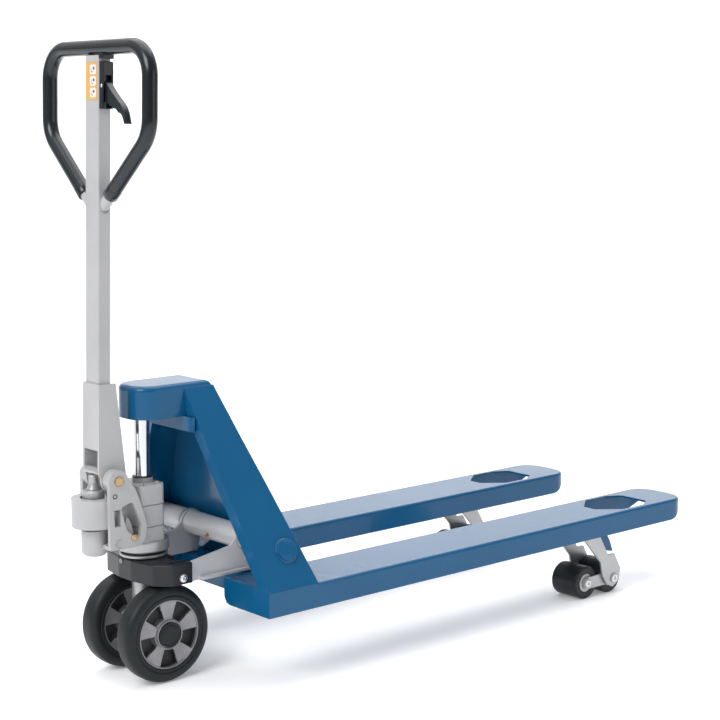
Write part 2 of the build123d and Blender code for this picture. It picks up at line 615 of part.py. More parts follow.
def roller_tread(x):
    """The tyre of a load roller with rounded shoulders."""
    tread = bar(ROLLER_RADIUS, -ROLLER_Y - ROLLER_WIDTH / 2, -ROLLER_Y + ROLLER_WIDTH / 2, x, ROLLER_RADIUS)
    tread = fillet(tread.edges(), 5)
    return tread - bar(ROLLER_CORE_RADIUS, -HALF_WIDTH, -FORK_INNER, x, ROLLER_RADIUS)


def roller_core(x):
    """The steel core of a load roller, which holds its bearings."""
    half = ROLLER_WIDTH / 2 - 1.5
    core = bar(ROLLER_CORE_RADIUS, -ROLLER_Y - half, -ROLLER_Y + half, x, ROLLER_RADIUS)
    hub = ROLLER_WIDTH / 2
    core += bar(AXLE_RADIUS + 5, -ROLLER_Y - hub, -ROLLER_Y + hub, x, ROLLER_RADIUS)
    return core - bar(AXLE_RADIUS + RUNNING, -HALF_WIDTH, -FORK_INNER, x, ROLLER_RADIUS)


def bogie_link():
    """The pair of plates that carry the rear roller from the front axle."""
    front, rear = (FRONT_AXLE_X, ROLLER_RADIUS), (REAR_AXLE_X, ROLLER_RADIUS)
    plates = both_sides(lambda y0, y1: strap(rear, front, LINK_RADIUS, LINK_RADIUS, y0, y1), ROLLER_SIDE, LINK_SIDE)
    plates -= bar(AXLE_RADIUS + RUNNING, -HALF_WIDTH, -FORK_INNER, *front)
    return plates - bar(AXLE_RADIUS, -HALF_WIDTH, -FORK_INNER, *rear)


right_side_pieces = {
    "roller_bracket": roller_bracket(),
    "bracket_gusset": bracket_gusset(),
    "front_axle": axle(FRONT_AXLE_X, CHEEK_SIDE),
    "bogie_link": bogie_link(),
    "rear_axle": axle(REAR_AXLE_X, LINK_SIDE),
    "load_roller_front": roller_tread(FRONT_AXLE_X),
    "load_roller_rear": roller_tread(REAR_AXLE_X),
    "roller_core_front": roller_core(FRONT_AXLE_X),
    "roller_core_rear": roller_core(REAR_AXLE_X),
}
for name, piece in right_side_pieces.items():
    keep(name + "_right", piece)
    keep(name + "_left", left_of(piece))


# ---------------------------------------------------------------- crosshead

def crosshead():
    """The cast beam under the pump, with a clevis for each rocker arm."""
    half = CROSSHEAD_WIDTH / 2
    shoulder = CROSSHEAD_REAR * 0.75
    corners = [
        (CROSSHEAD_EAR_FRONT, -half), (-CROSSHEAD_EAR_REAR, -half), (-shoulder, -half * 0.76),
        (-CROSSHEAD_REAR, -half * 0.2), (-CROSSHEAD_REAR, half * 0.2), (-shoulder, half * 0.76),
        (-CROSSHEAD_EAR_REAR, half), (CROSSHEAD_EAR_FRONT, half),
    ]
    outline = make_face(Polyline(*corners, close=True))
    beam = extrude(Pos(0, 0, CROSSHEAD_BOTTOM) * outline, amount=CROSSHEAD_TOP - CROSSHEAD_BOTTOM)
    for depth, radius in ((CROSSHEAD_REAR, 40), (shoulder, 18), (CROSSHEAD_EAR_REAR, 8)):
        bends = [e for e in beam.edges().filter_by(Axis.Z) if abs(e.center().X + depth) < 0.5]
        beam = fillet(bends, radius)
    beam = fillet(beam.faces().sort_by(Axis.Z)[-1].edges(), 3)
    low, high = CROSSHEAD_BOTTOM - 1, CROSSHEAD_TOP + 1
    clevis_rear = CROSSHEAD_PIN[0] - ROCKER_ARM_END - 8
    clevis_inner = ROCKER_ARM_OUTER - ROCKER_ARM - SIDE_PLAY
    for side in (-1, 1):
        gap = sorted((side * (ROCKER_ARM_OUTER + SIDE_PLAY), side * clevis_inner))
        beam -= box(clevis_rear, 2 * CROSSHEAD_EAR_FRONT, *gap, low, high)
        relief = sorted((side * CROSSHEAD_HUB_RADIUS, side * (clevis_inner - EAR_PLATE)))
        beam -= box(CROSSHEAD_PIN[0], 2 * CROSSHEAD_EAR_FRONT, *relief, low, high)
    beam -= post(STEM_RADIUS + RUNNING, low, high)
    beam -= bar(CROSSHEAD_PIN_RADIUS, -half - 1, half + 1, *CROSSHEAD_PIN)
    return beam


def crosshead_bolt():
    """The pin through one clevis, with a round head outside."""
    half = CROSSHEAD_WIDTH / 2
    inner = ROCKER_ARM_OUTER - ROCKER_ARM - SIDE_PLAY - EAR_PLATE
    return bar(CROSSHEAD_PIN_RADIUS, -half, -inner, *CROSSHEAD_PIN) + bar(
        BOLT_HEAD_RADIUS, -half - 3, -half, *CROSSHEAD_PIN)


keep("crosshead", crosshead())
keep("crosshead_bolts", crosshead_bolt(), left_of(crosshead_bolt()))


# ---------------------------------------------------------------- pump and steering unit

def pump_body():
    """The cast hydraulic body with its two grooves."""
    half = PUMP_WIDTH / 2
    body = box(-PUMP_REAR, PUMP_FRONT, -half, half, PUMP_BOTTOM, PUMP_TOP)
    body = fillet(body.edges().filter_by(Axis.Z), PUMP_CORNER)
    shell = box(-PUMP_REAR - 5, PUMP_FRONT + 5, -half - 5, half + 5, 0, GROOVE)
    core = box(-PUMP_REAR + GROOVE, PUMP_FRONT - GROOVE, -half + GROOVE, half - GROOVE, -1, GROOVE + 1)
    core = fillet(core.edges().filter_by(Axis.Z), PUMP_CORNER - GROOVE)
    for level in PUMP_GROOVES:
        body -= Pos(0, 0, level) * (shell - core)
    return body - post(RAM_RADIUS + RAM_CLEARANCE, PUMP_BOTTOM - 1, PUMP_TOP + 1)


def handle_bracket():
    """The casting behind the pump: two cheeks, a guide ring and a floor."""
    hx, hz = HANDLE_PIVOT
    rear = RING_X + 3
    boss = BRACKET_BOSS_RADIUS
    outline = [
        (rear, PUMP_BOTTOM), (rear, hz - 8), (hx - boss * 0.8, hz + boss * 0.6), (hx + boss * 0.5, hz + boss * 0.8),
        (hx + 39, PUMP_TOP), (-PUMP_REAR - 8, PUMP_TOP - 22), (-PUMP_REAR + 9, RING_BOTTOM - 3),
        (-PUMP_REAR + 5, PUMP_BOTTOM + 16), (-PUMP_REAR - 5, PUMP_BOTTOM),
    ]
    window = [(hx + 4, 368), (hx + 31, 376), (-PUMP_REAR - 4, 327), (-PUMP_REAR - 9, 294), (hx + 17, 320)]
    half = BRACKET_WIDTH / 2
    casting = post(RING_RADIUS, RING_BOTTOM, RING_TOP, RING_X)
    for side in (-1, 1):
        reach = sorted((side * (RING_BORE + 5), side * half))
        casting += box(rear, rear + RING_WEB, *reach, RING_BOTTOM, RING_TOP)
    for y0 in (-half, half - BRACKET_CHEEK):
        casting += outline_xz(outline, y0, y0 + BRACKET_CHEEK)
    for side in (-1, 1):
        reach = sorted((side * (YOKE_HALF + SIDE_PLAY), side * half))
        casting += bar(boss, *reach, hx, hz)
    casting += box(rear, -PUMP_REAR, -CHEEK_INNER, CHEEK_INNER, PUMP_BOTTOM, PUMP_BOTTOM + 8)
    casting -= box(rear + RING_WEB, 0, -CHEEK_INNER, CHEEK_INNER, PUMP_BOTTOM + 8, RING_TOP + 1)
    casting -= post(RING_BORE, RING_BOTTOM - 1, RING_TOP + 1, RING_X)
    slit = RING_X + RING_SLIT_OFFSET
    for side in (-1, 1):
        reach = sorted((side * SPRING_RADIUS, side * (half + 1)))
        casting -= box(slit, slit + RING_SLIT_WIDTH, *reach, RING_BOTTOM + 3, RING_BOTTOM + 3 + RING_SLIT_HEIGHT)
    casting -= post(PLUNGER_CYLINDER_RADIUS, PUMP_BOTTOM - 1, RING_BOTTOM, RING_X)
    casting -= outline_xz(window, -half - 1, half + 1, 7)
    casting -= bar(PIVOT_PIN_RADIUS, -half - 1, half + 1, hx, hz)
    casting -= bar(RELEASE_PIN_RADIUS + RUNNING, -half - 1, half + 1, *RELEASE_PIVOT)
    return casting


def pump_cylinder():
    """The plunger's cylinder under the guide ring."""
    barrel = post(PLUNGER_CYLINDER_RADIUS, PLUNGER_CYLINDER_BOTTOM, PLUNGER_CYLINDER_TOP, RING_X)
    barrel = chamfer(barrel.faces().sort_by(Axis.Z)[0].edges(), 6)
    floor = PLUNGER_FOOT - PLUNGER_TRAVEL - 2
    return barrel - post(PLUNGER_RADIUS + RUNNING, floor, PLUNGER_CYLINDER_TOP + 1, RING_X)


def steer_stem():
    """The stem that turns in the crosshead and holds the wheel axle."""
    stem = post(STEM_RADIUS, STEM_BOTTOM, PUMP_BOTTOM)
    stem = chamfer(stem.faces().sort_by(Axis.Z)[0].edges(), 4)
    stem -= post(RAM_RADIUS + RAM_CLEARANCE, STEM_BORE_BOTTOM, PUMP_BOTTOM + 1)
    return stem - bar(WHEEL_AXLE_SHOULDER, -HALF_WIDTH, HALF_WIDTH, 0, AXLE_Z)


def wheel_axle():
    """The axle, thick between the wheels."""
    inner = (WHEEL_SPACING - WHEEL_WIDTH) / 2 - SIDE_PLAY
    outer = (WHEEL_SPACING + WHEEL_WIDTH) / 2
    return bar(WHEEL_AXLE_SHOULDER, -inner, inner, 0, AXLE_Z) + bar(WHEEL_AXLE_RADIUS, -outer, outer, 0, AXLE_Z)


def pivot_plug():
    """A pivot pin of the handle with its brass head."""
    half = BRACKET_WIDTH / 2
    pin = bar(PIVOT_PIN_RADIUS, -half, -YOKE_HALF + YOKE_CHEEK, *HANDLE_PIVOT)
    head_disc = bar(PIVOT_PLUG_RADIUS, -half - PIVOT_PLUG_HEAD, -half, *HANDLE_PIVOT)
    return pin + chamfer(head_disc.faces().sort_by(Axis.Y)[0].edges(), 1)


gland = extrude(Pos(0, 0, PUMP_TOP) * RegularPolygon(GLAND_RADIUS, 6), amount=GLAND_HEIGHT)
gland -= post(RAM_RADIUS + RAM_CLEARANCE, PUMP_TOP - 1, PUMP_TOP + GLAND_HEIGHT + 1)
flange = post(FLANGE_RADIUS, FLANGE_BOTTOM, PUMP_BOTTOM)
flange = fillet(flange.edges(), 3) - post(STEM_RADIUS, FLANGE_BOTTOM - 1, PUMP_BOTTOM + 1)
race_bottom = CROSSHEAD_TOP + FACE_GAP
race = post(BEARING_RADIUS, race_bottom, FLANGE_BOTTOM) - post(STEM_RADIUS, race_bottom - 1, FLANGE_BOTTOM + 1)
keep("pump_body", pump_body())
keep("gland_nut", gland)
keep("base_flange", flange)
keep("thrust_bearing", race)
keep("steer_stem", steer_stem())
keep("wheel_axle", wheel_axle())
keep("handle_bracket", handle_bracket())
keep("pump_cylinder", pump_cylinder())
keep("pivot_plugs", pivot_plug(), left_of(pivot_plug()))


# ---------------------------------------------------------------- plunger and release lever

cap = post(SPRING_CAP_RADIUS, SPRING_CAP_TOP - SPRING_CAP_HEIGHT, SPRING_CAP_TOP, RING_X)
cap = chamfer(cap.faces().sort_by(Axis.Z)[-1].edges(), 3)
plunger = post(PLUNGER_RADIUS, PLUNGER_FOOT, PLUNGER_TOP, RING_X) + cap
keep("plunger", fillet(plunger.faces().sort_by(Axis.Z)[-1].edges(), 2))

coil_foot = PLUNGER_CYLINDER_TOP + SPRING_WIRE + FACE_GAP
coil_top = SPRING_CAP_TOP - SPRING_CAP_HEIGHT - SPRING_WIRE - FACE_GAP
coil = Helix((coil_top - coil_foot) / SPRING_TURNS, coil_top - coil_foot, SPRING_RADIUS)
wire = sweep(Plane(origin=coil @ 0, z_dir=coil % 0) * Circle(SPRING_WIRE), path=coil)
keep("plunger_spring", Pos(RING_X, 0, coil_foot) * wire)

rx, rz = RELEASE_PIVOT
release_outline = [(rx - 10, rz - 8), (rx - 14, rz + 36), (rx - 4, rz + 44), (rx + 8, rz + 30), (rx + 12, rz - 4),
                   (rx + 4, rz - 10)]
release = outline_xz(release_outline, -RELEASE_WIDTH / 2, RELEASE_WIDTH / 2, 3)
release += bar(RELEASE_PIN_RADIUS, -BRACKET_WIDTH / 2 + 2, BRACKET_WIDTH / 2 - 2, rx, rz)
keep("release_lever", release)


# ---------------------------------------------------------------- steering wheels

def wheel_rim():
    """The cast centre of a steering wheel, with pockets between its spokes."""
    y0, y1 = -WHEEL_SPACING / 2 - RIM_WIDTH / 2, -WHEEL_SPACING / 2 + RIM_WIDTH / 2
    rim = bar(RIM_RADIUS, y0, y1, 0, AXLE_Z)
    rim = chamfer(rim.edges(), 2)
    inner, outer = HUB_RADIUS + 4, RIM_RADIUS - 8
    half_angle = radians(360 / SPOKES / 4)
    a = (inner * cos(half_angle), inner * sin(half_angle))
    b = (outer * cos(half_angle), outer * sin(half_angle))
    arc_out = ThreePointArc(b, (outer, 0), (b[0], -b[1]))
    arc_in = ThreePointArc((a[0], -a[1]), (inner, 0), a)
    pocket = make_face(Line(a, b) + arc_out + Line((b[0], -b[1]), (a[0], -a[1])) + arc_in)
    pocket = fillet(pocket.vertices(), 5)
    for face_y in (y0 + POCKET_DEPTH, y1):
        plane = Plane(origin=(0, face_y, AXLE_Z), x_dir=(1, 0, 0), z_dir=(0, -1, 0))
        for spoke in range(SPOKES):
            turned = plane * Rot(0, 0, 90 + 360 / SPOKES * (spoke + 0.5)) * pocket
            rim -= extrude(turned, amount=POCKET_DEPTH, dir=(0, -1, 0))
    hub_half = WHEEL_WIDTH / 2
    rim += bar(HUB_RADIUS - 4, -WHEEL_SPACING / 2 - hub_half, -WHEEL_SPACING / 2 + hub_half, 0, AXLE_Z)
    return rim - bar(WHEEL_AXLE_RADIUS + RUNNING, -HALF_WIDTH, HALF_WIDTH, 0, AXLE_Z)


def wheel_tyre():
    """The solid tyre with round shoulders."""
    half = WHEEL_WIDTH / 2
    tyre = bar(WHEEL_RADIUS, -WHEEL_SPACING / 2 - half, -WHEEL_SPACING / 2 + half, 0, AXLE_Z)
    tyre = fillet(tyre.edges(), TYRE_SHOULDER)
    return tyre - bar(RIM_RADIUS, -HALF_WIDTH, HALF_WIDTH, 0, AXLE_Z)


rim_right, tyre_right = wheel_rim(), wheel_tyre()
keep("wheel_rim_right", rim_right)
keep("wheel_rim_left", left_of(rim_right))
keep("wheel_tyre_right", tyre_right)
keep("wheel_tyre_left", left_of(tyre_right))


# ---------------------------------------------------------------- handle

def loop_path(start_y):
    """Centre line of the hand loop, from |y| = start_y on one leg round to the other."""
    slope = (LOOP_SIDE_FOOT - LOOP_JOINT) / LOOP_HALF_WIDTH
    foot = (start_y, LOOP_JOINT + slope * start_y)
    points = [(-foot[0], foot[1]), (-LOOP_HALF_WIDTH, LOOP_SIDE_FOOT), (-LOOP_HALF_WIDTH, LOOP_TOP),
              (LOOP_HALF_WIDTH, LOOP_TOP), (LOOP_HALF_WIDTH, LOOP_SIDE_FOOT), foot]
    line = FilletPolyline(*points, radius=[LOOP_FOOT_BEND, LOOP_TOP_BEND, LOOP_TOP_BEND, LOOP_FOOT_BEND])
    return Plane(origin=(TUBE_X, 0, 0), x_dir=(0, 1, 0), z_dir=(1, 0, 0)) * line


def loop_sweep(start_y, outer, inner=0.0):
    """A round section, or a ring, carried along the loop."""
    path = loop_path(start_y)
    section = Circle(outer) - Circle(inner) if inner else Circle(outer)
    return sweep(Plane(origin=path @ 0, z_dir=path % 0) * section, path=path)


def yoke():
    """The cast fork that joins the handle tube to the pump."""
    hx, hz = HANDLE_PIVOT
    outline = [
        (YOKE_REAR, hz + 14), (YOKE_REAR, YOKE_TOP), (YOKE_TOP_FRONT, YOKE_TOP), (YOKE_FOOT_FRONT, hz + 2),
        (hx + 6, hz - 20), (hx - 12, hz - 18),
    ]
    half = YOKE_HALF
    body = outline_xz(outline, -half, -half + YOKE_CHEEK) + outline_xz(outline, half - YOKE_CHEEK, half)
    for side in (-1, 1):
        reach = sorted((side * (half - YOKE_CHEEK), side * half))
        body += bar(YOKE_BOSS_RADIUS, *reach, hx, hz)
    body += box(YOKE_REAR, TUBE_X - TUBE_DEPTH / 2, -half, half, YOKE_WINDOW_TOP, YOKE_TOP)
    return body - bar(PIVOT_PIN_RADIUS + RUNNING, -half - 1, half + 1, hx, hz)


def control_lever():
    """The finger lever with its waved underside."""
    y, z = LEVER_PIVOT
    blade = [
        (y + 2, z + 8), (y - 5, z + 8), (y - 41, z - 23), (y - 66, z - 40), (y - 80, z - 70), (y - 72, z - 73),
        (y - 66, z - 70), (y - 56, z - 53), (y - 46, z - 52), (y - 34, z - 43), (y - 24, z - 43), (y - 12, z - 34),
        (y - 2, z - 33), (y - 1, z - 22),
    ]
    face = fillet(make_face(Polyline(*blade, close=True)).vertices(), 2)
    x0 = TUBE_X - LEVER_THICKNESS / 2
    plane = Plane(origin=(x0, 0, 0), x_dir=(0, 1, 0), z_dir=(1, 0, 0))
    return extrude(plane * face, amount=LEVER_THICKNESS, dir=(1, 0, 0))


def lever_housing():
    """The two-walled holder on the side of the tube."""
    face = -TUBE_WIDTH / 2
    x0, x1 = TUBE_X - HOUSING_WIDTH / 2, TUBE_X + HOUSING_WIDTH / 2
    shell = box(x0, x1, face - HOUSING_DEPTH, face, HOUSING_BOTTOM, HOUSING_TOP)
    shell = fillet(shell.faces().sort_by(Axis.Y)[0].edges(), 2)
    shell -= box(x0 + HOUSING_WALL, x1 - HOUSING_WALL, face - HOUSING_DEPTH - 1, face - 2, HOUSING_BOTTOM - 1,
                 HOUSING_TOP - 26)
    pin = Pos(TUBE_X, LEVER_PIVOT[0], LEVER_PIVOT[1]) * Rot(0, 90, 0) * Cylinder(2, HOUSING_WIDTH)
    return shell + pin


tube_top = LOOP_TOP - GRIP_RADIUS - FACE_GAP
x0, x1 = TUBE_X - TUBE_DEPTH / 2, TUBE_X + TUBE_DEPTH / 2
half_tube = TUBE_WIDTH / 2
tube_solid = box(x0, x1, -half_tube, half_tube, TUBE_FOOT, tube_top)
tube_solid = fillet(tube_solid.edges().filter_by(Axis.Z), 3)
tube_core = box(x0 + TUBE_WALL, x1 - TUBE_WALL, -half_tube + TUBE_WALL, half_tube - TUBE_WALL, TUBE_FOOT - 1,
                tube_top + 1)
loop = loop_sweep(half_tube - 4, LOOP_RADIUS) - box(x0 - 40, x1 + 40, -half_tube, half_tube, 0, tube_top)
roller = bar(PUMP_ROLLER_RADIUS, -half_tube, half_tube, *PUMP_ROLLER)
lever_pin_hole = Pos(TUBE_X, LEVER_PIVOT[0], LEVER_PIVOT[1]) * Rot(0, 90, 0) * Cylinder(2 + RUNNING, 60)
keep("handle_tube", lean(tube_solid - tube_core))
keep("handle_loop", lean(loop))
keep("handle_grip", lean(loop_sweep(GRIP_END, GRIP_RADIUS, LOOP_RADIUS)))
keep("handle_yoke", lean(yoke()))
keep("pump_roller", lean(roller))
keep("lever_housing", lean(lever_housing()))
keep("control_lever", lean(control_lever() - lever_pin_hole))


# ---------------------------------------------------------------- export

# The part stands on the floor with its origin at the middle of its length and width.
shift = Location((-CENTRE_X, 0, 0))
for name, solids in nodes.items():
    placed = Compound(children=[solid.moved(shift) for solid in solids])
    export_step(placed, os.path.join("parts", name + ".step"))

print("centre x", round(CENTRE_X, 3))
print("rocker turn", round(degrees(ROCKER_TURN), 4), "bracket turn", round(degrees(BRACKET_TURN), 4))
print("rod travel", round(ROD_TRAVEL, 4), "nodes", len(nodes))
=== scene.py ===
import bpy
import bmesh
import json
from math import cos, hypot, pi, radians, sin
from mathutils import Matrix, Vector


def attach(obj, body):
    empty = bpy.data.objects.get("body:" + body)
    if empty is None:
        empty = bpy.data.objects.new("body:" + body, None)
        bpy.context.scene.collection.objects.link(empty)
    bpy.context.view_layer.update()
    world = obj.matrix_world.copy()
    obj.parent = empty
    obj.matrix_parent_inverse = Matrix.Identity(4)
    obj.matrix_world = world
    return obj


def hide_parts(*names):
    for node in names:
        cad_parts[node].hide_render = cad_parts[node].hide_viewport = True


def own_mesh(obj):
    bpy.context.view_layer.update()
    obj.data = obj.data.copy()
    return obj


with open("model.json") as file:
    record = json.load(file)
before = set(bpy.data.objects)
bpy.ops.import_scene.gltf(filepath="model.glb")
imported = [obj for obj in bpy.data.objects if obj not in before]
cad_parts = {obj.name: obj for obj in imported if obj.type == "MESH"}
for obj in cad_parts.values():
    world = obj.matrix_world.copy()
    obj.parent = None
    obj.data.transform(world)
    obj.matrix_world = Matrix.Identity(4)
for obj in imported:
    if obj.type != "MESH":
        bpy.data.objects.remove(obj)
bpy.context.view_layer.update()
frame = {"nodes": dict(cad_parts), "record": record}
nodes = frame["nodes"]

# The truck is drawn in millimetres from its steering axis, and placed in metres.
STEERING_AXIS_X = -628.0
SIDES = {"right": -1.0, "left": 1.0}

# Wheels and load rollers.
WHEEL_Y, WHEEL_AXLE_Z = 65.0, 100.0
ROLLER_Y, ROLLER_AXLE_Z = 209.0, 39.0
FRONT_AXLE_X, REAR_AXLE_X = 1156.0, 1072.0

# Frame and rocker.
FRAME_HALF = 270.0
SIDE_PLATE_FOOT_X, SIDE_PLATE_FOOT_Z = 186.0, 200.0
SIDE_PLATE_RUN, SIDE_PLATE_RISE = 215.0, 390.0
ROCKER_X, ROCKER_Z = 186.0, 269.0

# Pump.
PLUNGER_X = -115.0
COIL_FOOT, COIL_TOP, COIL_TURNS, COIL_RADIUS, COIL_WIRE = 322.6, 375.4, 6.5, 17.0, 2.0
COIL_STEPS = 240

# Handle, drawn upright and then leaned about its pivot.
HANDLE_PIVOT = Vector((-91.0, 0.0, 421.0))
HANDLE_LEAN = radians(1.48)
TUBE_X = -103.8
TUBE_REAR_X = TUBE_X - 14.0
YOKE_TOP_Z = 612.6
LEG_FOOT_Z = 940.6
LEG_SLOPE = (1097.0 - LEG_FOOT_Z) / 179.0
LABEL_Z = 1199.0
LABEL_PITCH = 22.0


def place(x, y, z):
    """A point of the truck, in metres in the part's own frame."""
    return Vector(((x + STEERING_AXIS_X) / 1000, y / 1000, z / 1000))


# ------------------------------------------------------------------ materials

def group(name, inputs, outputs):
    """An empty shader node group with named sockets."""
    made = bpy.data.node_groups.new(name, "ShaderNodeTree")
    for label, kind, value in inputs:
        socket = made.interface.new_socket(name=label, in_out="INPUT", socket_type=kind)
        socket.default_value = value
    for label, kind in outputs:
        made.interface.new_socket(name=label, in_out="OUTPUT", socket_type=kind)
    return made, made.nodes.new("NodeGroupInput"), made.nodes.new("NodeGroupOutput")


def node(tree, kind, **settings):
    """A node with its properties set, and with in_Name as the value of its input Name."""
    made = tree.nodes.new(kind)
    for key, value in settings.items():
        if key.startswith("in_"):
            made.inputs[key[3:].replace("_", " ")].default_value = value
        else:
            setattr(made, key, value)
    return made


def math(tree, operation, a, b=None, clamp=False):
    """A Math node whose inputs are numbers or sockets."""
    made = tree.nodes.new("ShaderNodeMath")
    made.operation = operation
    made.use_clamp = clamp
    for socket, value in zip(made.inputs, (a, b)):
        if value is None:
            continue
        if isinstance(value, (int, float)):
            socket.default_value = value
        else:
            tree.links.new(value, socket)
    return made.outputs[0]


def spread(tree, value, low, high, to_low=0.0, to_high=1.0):
    """Spreads a value from one range to another, with its ends held."""
    made = tree.nodes.new("ShaderNodeMapRange")
    made.clamp = True
    made.inputs["From Min"].default_value = low
    made.inputs["From Max"].default_value = high
    made.inputs["To Min"].default_value = to_low
    made.inputs["To Max"].default_value = to_high
    tree.links.new(value, made.inputs["Value"])
    return made.outputs["Result"]


def noise(tree, scale, detail=3.0, rough=0.55, stretch=(1, 1, 1)):
    """Noise fixed to the piece, stretched along its axes."""
    where = tree.nodes.new("ShaderNodeTexCoord")
    fit = tree.nodes.new("ShaderNodeMapping")
    fit.inputs["Scale"].default_value = stretch
    tree.links.new(where.outputs["Object"], fit.inputs["Vector"])
    made = tree.nodes.new("ShaderNodeTexNoise")
    made.inputs["Detail"].default_value = detail
    made.inputs["Roughness"].default_value = rough
    tree.links.new(fit.outputs["Vector"], made.inputs["Vector"])
    if isinstance(scale, (int, float)):
        made.inputs["Scale"].default_value = scale
    else:
        tree.links.new(scale, made.inputs["Scale"])
    return made.outputs["Fac"]


def edge_wear_group():
    """Where paint is rubbed off: the sharp outer edges, broken up by noise."""
    made, entry, leave = group(
        "Edge wear",
        [("Width", "NodeSocketFloat", 0.0015), ("Amount", "NodeSocketFloat", 0.4),
         ("Breakup", "NodeSocketFloat", 90.0)],
        [("Mask", "NodeSocketFloat")],
    )
    rounded = node(made, "ShaderNodeBevel", samples=4)
    made.links.new(entry.outputs["Width"], rounded.inputs["Radius"])
    flat = made.nodes.new("ShaderNodeNewGeometry")
    lined = node(made, "ShaderNodeVectorMath", operation="DOT_PRODUCT")
    made.links.new(rounded.outputs["Normal"], lined.inputs[0])
    made.links.new(flat.outputs["Normal"], lined.inputs[1])
    edge = spread(made, lined.outputs["Value"], 0.995, 0.86)
    broken = spread(made, noise(made, entry.outputs["Breakup"], 5.0, 0.65), 0.5, 0.62)
    chipped = math(made, "MULTIPLY", edge, broken)
    made.links.new(math(made, "MULTIPLY", chipped, entry.outputs["Amount"], clamp=True), leave.inputs["Mask"])
    return made


def dust_group():
    """Pale dust that settles on faces that look up."""
    made, entry, leave = group(
        "Settled dust",
        [("Amount", "NodeSocketFloat", 0.15), ("Patch size", "NodeSocketFloat", 9.0)],
        [("Mask", "NodeSocketFloat")],
    )
    flat = made.nodes.new("ShaderNodeNewGeometry")
    split = made.nodes.new("ShaderNodeSeparateXYZ")
    made.links.new(flat.outputs["Normal"], split.inputs["Vector"])
    up = spread(made, split.outputs["Z"], 0.5, 1.0)
    patch = spread(made, noise(made, entry.outputs["Patch size"], 6.0, 0.6), 0.35, 0.7, 0.35, 1.0)
    settled = math(made, "MULTIPLY", up, patch)
    made.links.new(math(made, "MULTIPLY", settled, entry.outputs["Amount"], clamp=True), leave.inputs["Mask"])
    return made


def grain_group():
    """A fine raised grain, as on sand castings, moulded rubber or sprayed paint."""
    made, entry, leave = group(
        "Fine grain",
        [("Size", "NodeSocketFloat", 900.0), ("Depth", "NodeSocketFloat", 0.1),
         ("Coarse depth", "NodeSocketFloat", 0.05)],
        [("Height", "NodeSocketFloat"), ("Speckle", "NodeSocketFloat")],
    )
    fine = noise(made, entry.outputs["Size"], 2.0, 0.5)
    coarse = noise(made, math(made, "MULTIPLY", entry.outputs["Size"], 0.12), 3.0, 0.5)
    height = math(made, "ADD", math(made, "MULTIPLY", fine, entry.outputs["Depth"]),
                  math(made, "MULTIPLY", coarse, entry.outputs["Coarse depth"]))
    made.links.new(height, leave.inputs["Height"])
    made.links.new(spread(made, fine, 0.3, 0.7), leave.inputs["Speckle"])
    return made


def tone_group():
    """Slow changes of tone and gloss over a large surface, with fine scratches."""
    made, entry, leave = group(
        "Handling marks",
        [("Patch size", "NodeSocketFloat", 5.0), ("Scratches", "NodeSocketFloat", 0.3)],
        [("Tone", "NodeSocketFloat"), ("Gloss loss", "NodeSocketFloat")],
    )
    slow = noise(made, entry.outputs["Patch size"], 4.0, 0.6)
    lines = noise(made, 60.0, 2.0, 0.5, (1.0, 14.0, 14.0))
    scratch = math(made, "MULTIPLY", spread(made, lines, 0.62, 0.72), entry.outputs["Scratches"])
    made.links.new(spread(made, slow, 0.3, 0.7), leave.inputs["Tone"])
    dull = math(made, "ADD", math(made, "MULTIPLY", slow, 0.35), scratch, clamp=True)
    made.links.new(dull, leave.inputs["Gloss loss"])
    return made


DUST_COLOUR = (0.42, 0.41, 0.4)
GRAIN_HEIGHT = 0.0006
EDGE_RADIUS = 0.0015
SPECKLE_SHARE = 0.18

EDGE_WEAR = edge_wear_group()
DUST = dust_group()
GRAIN = grain_group()
MARKS = tone_group()


def placed(tree, which, **values):
    """A node group placed in a material with its own values."""
    made = tree.nodes.new("ShaderNodeGroup")
    made.node_tree = which
    for key, value in values.items():
        made.inputs[key.replace("_", " ")].default_value = value
    return made


def mixed(tree, mask, below, above):
    """Mixes two colours by a mask."""
    made = tree.nodes.new("ShaderNodeMix")
    made.data_type = "RGBA"
    tree.links.new(mask, made.inputs["Factor"])
    for socket, value in ((made.inputs[6], below), (made.inputs[7], above)):
        if isinstance(value, tuple):
            socket.default_value = (*value, 1.0)
        else:
            tree.links.new(value, socket)
    return made.outputs[2]


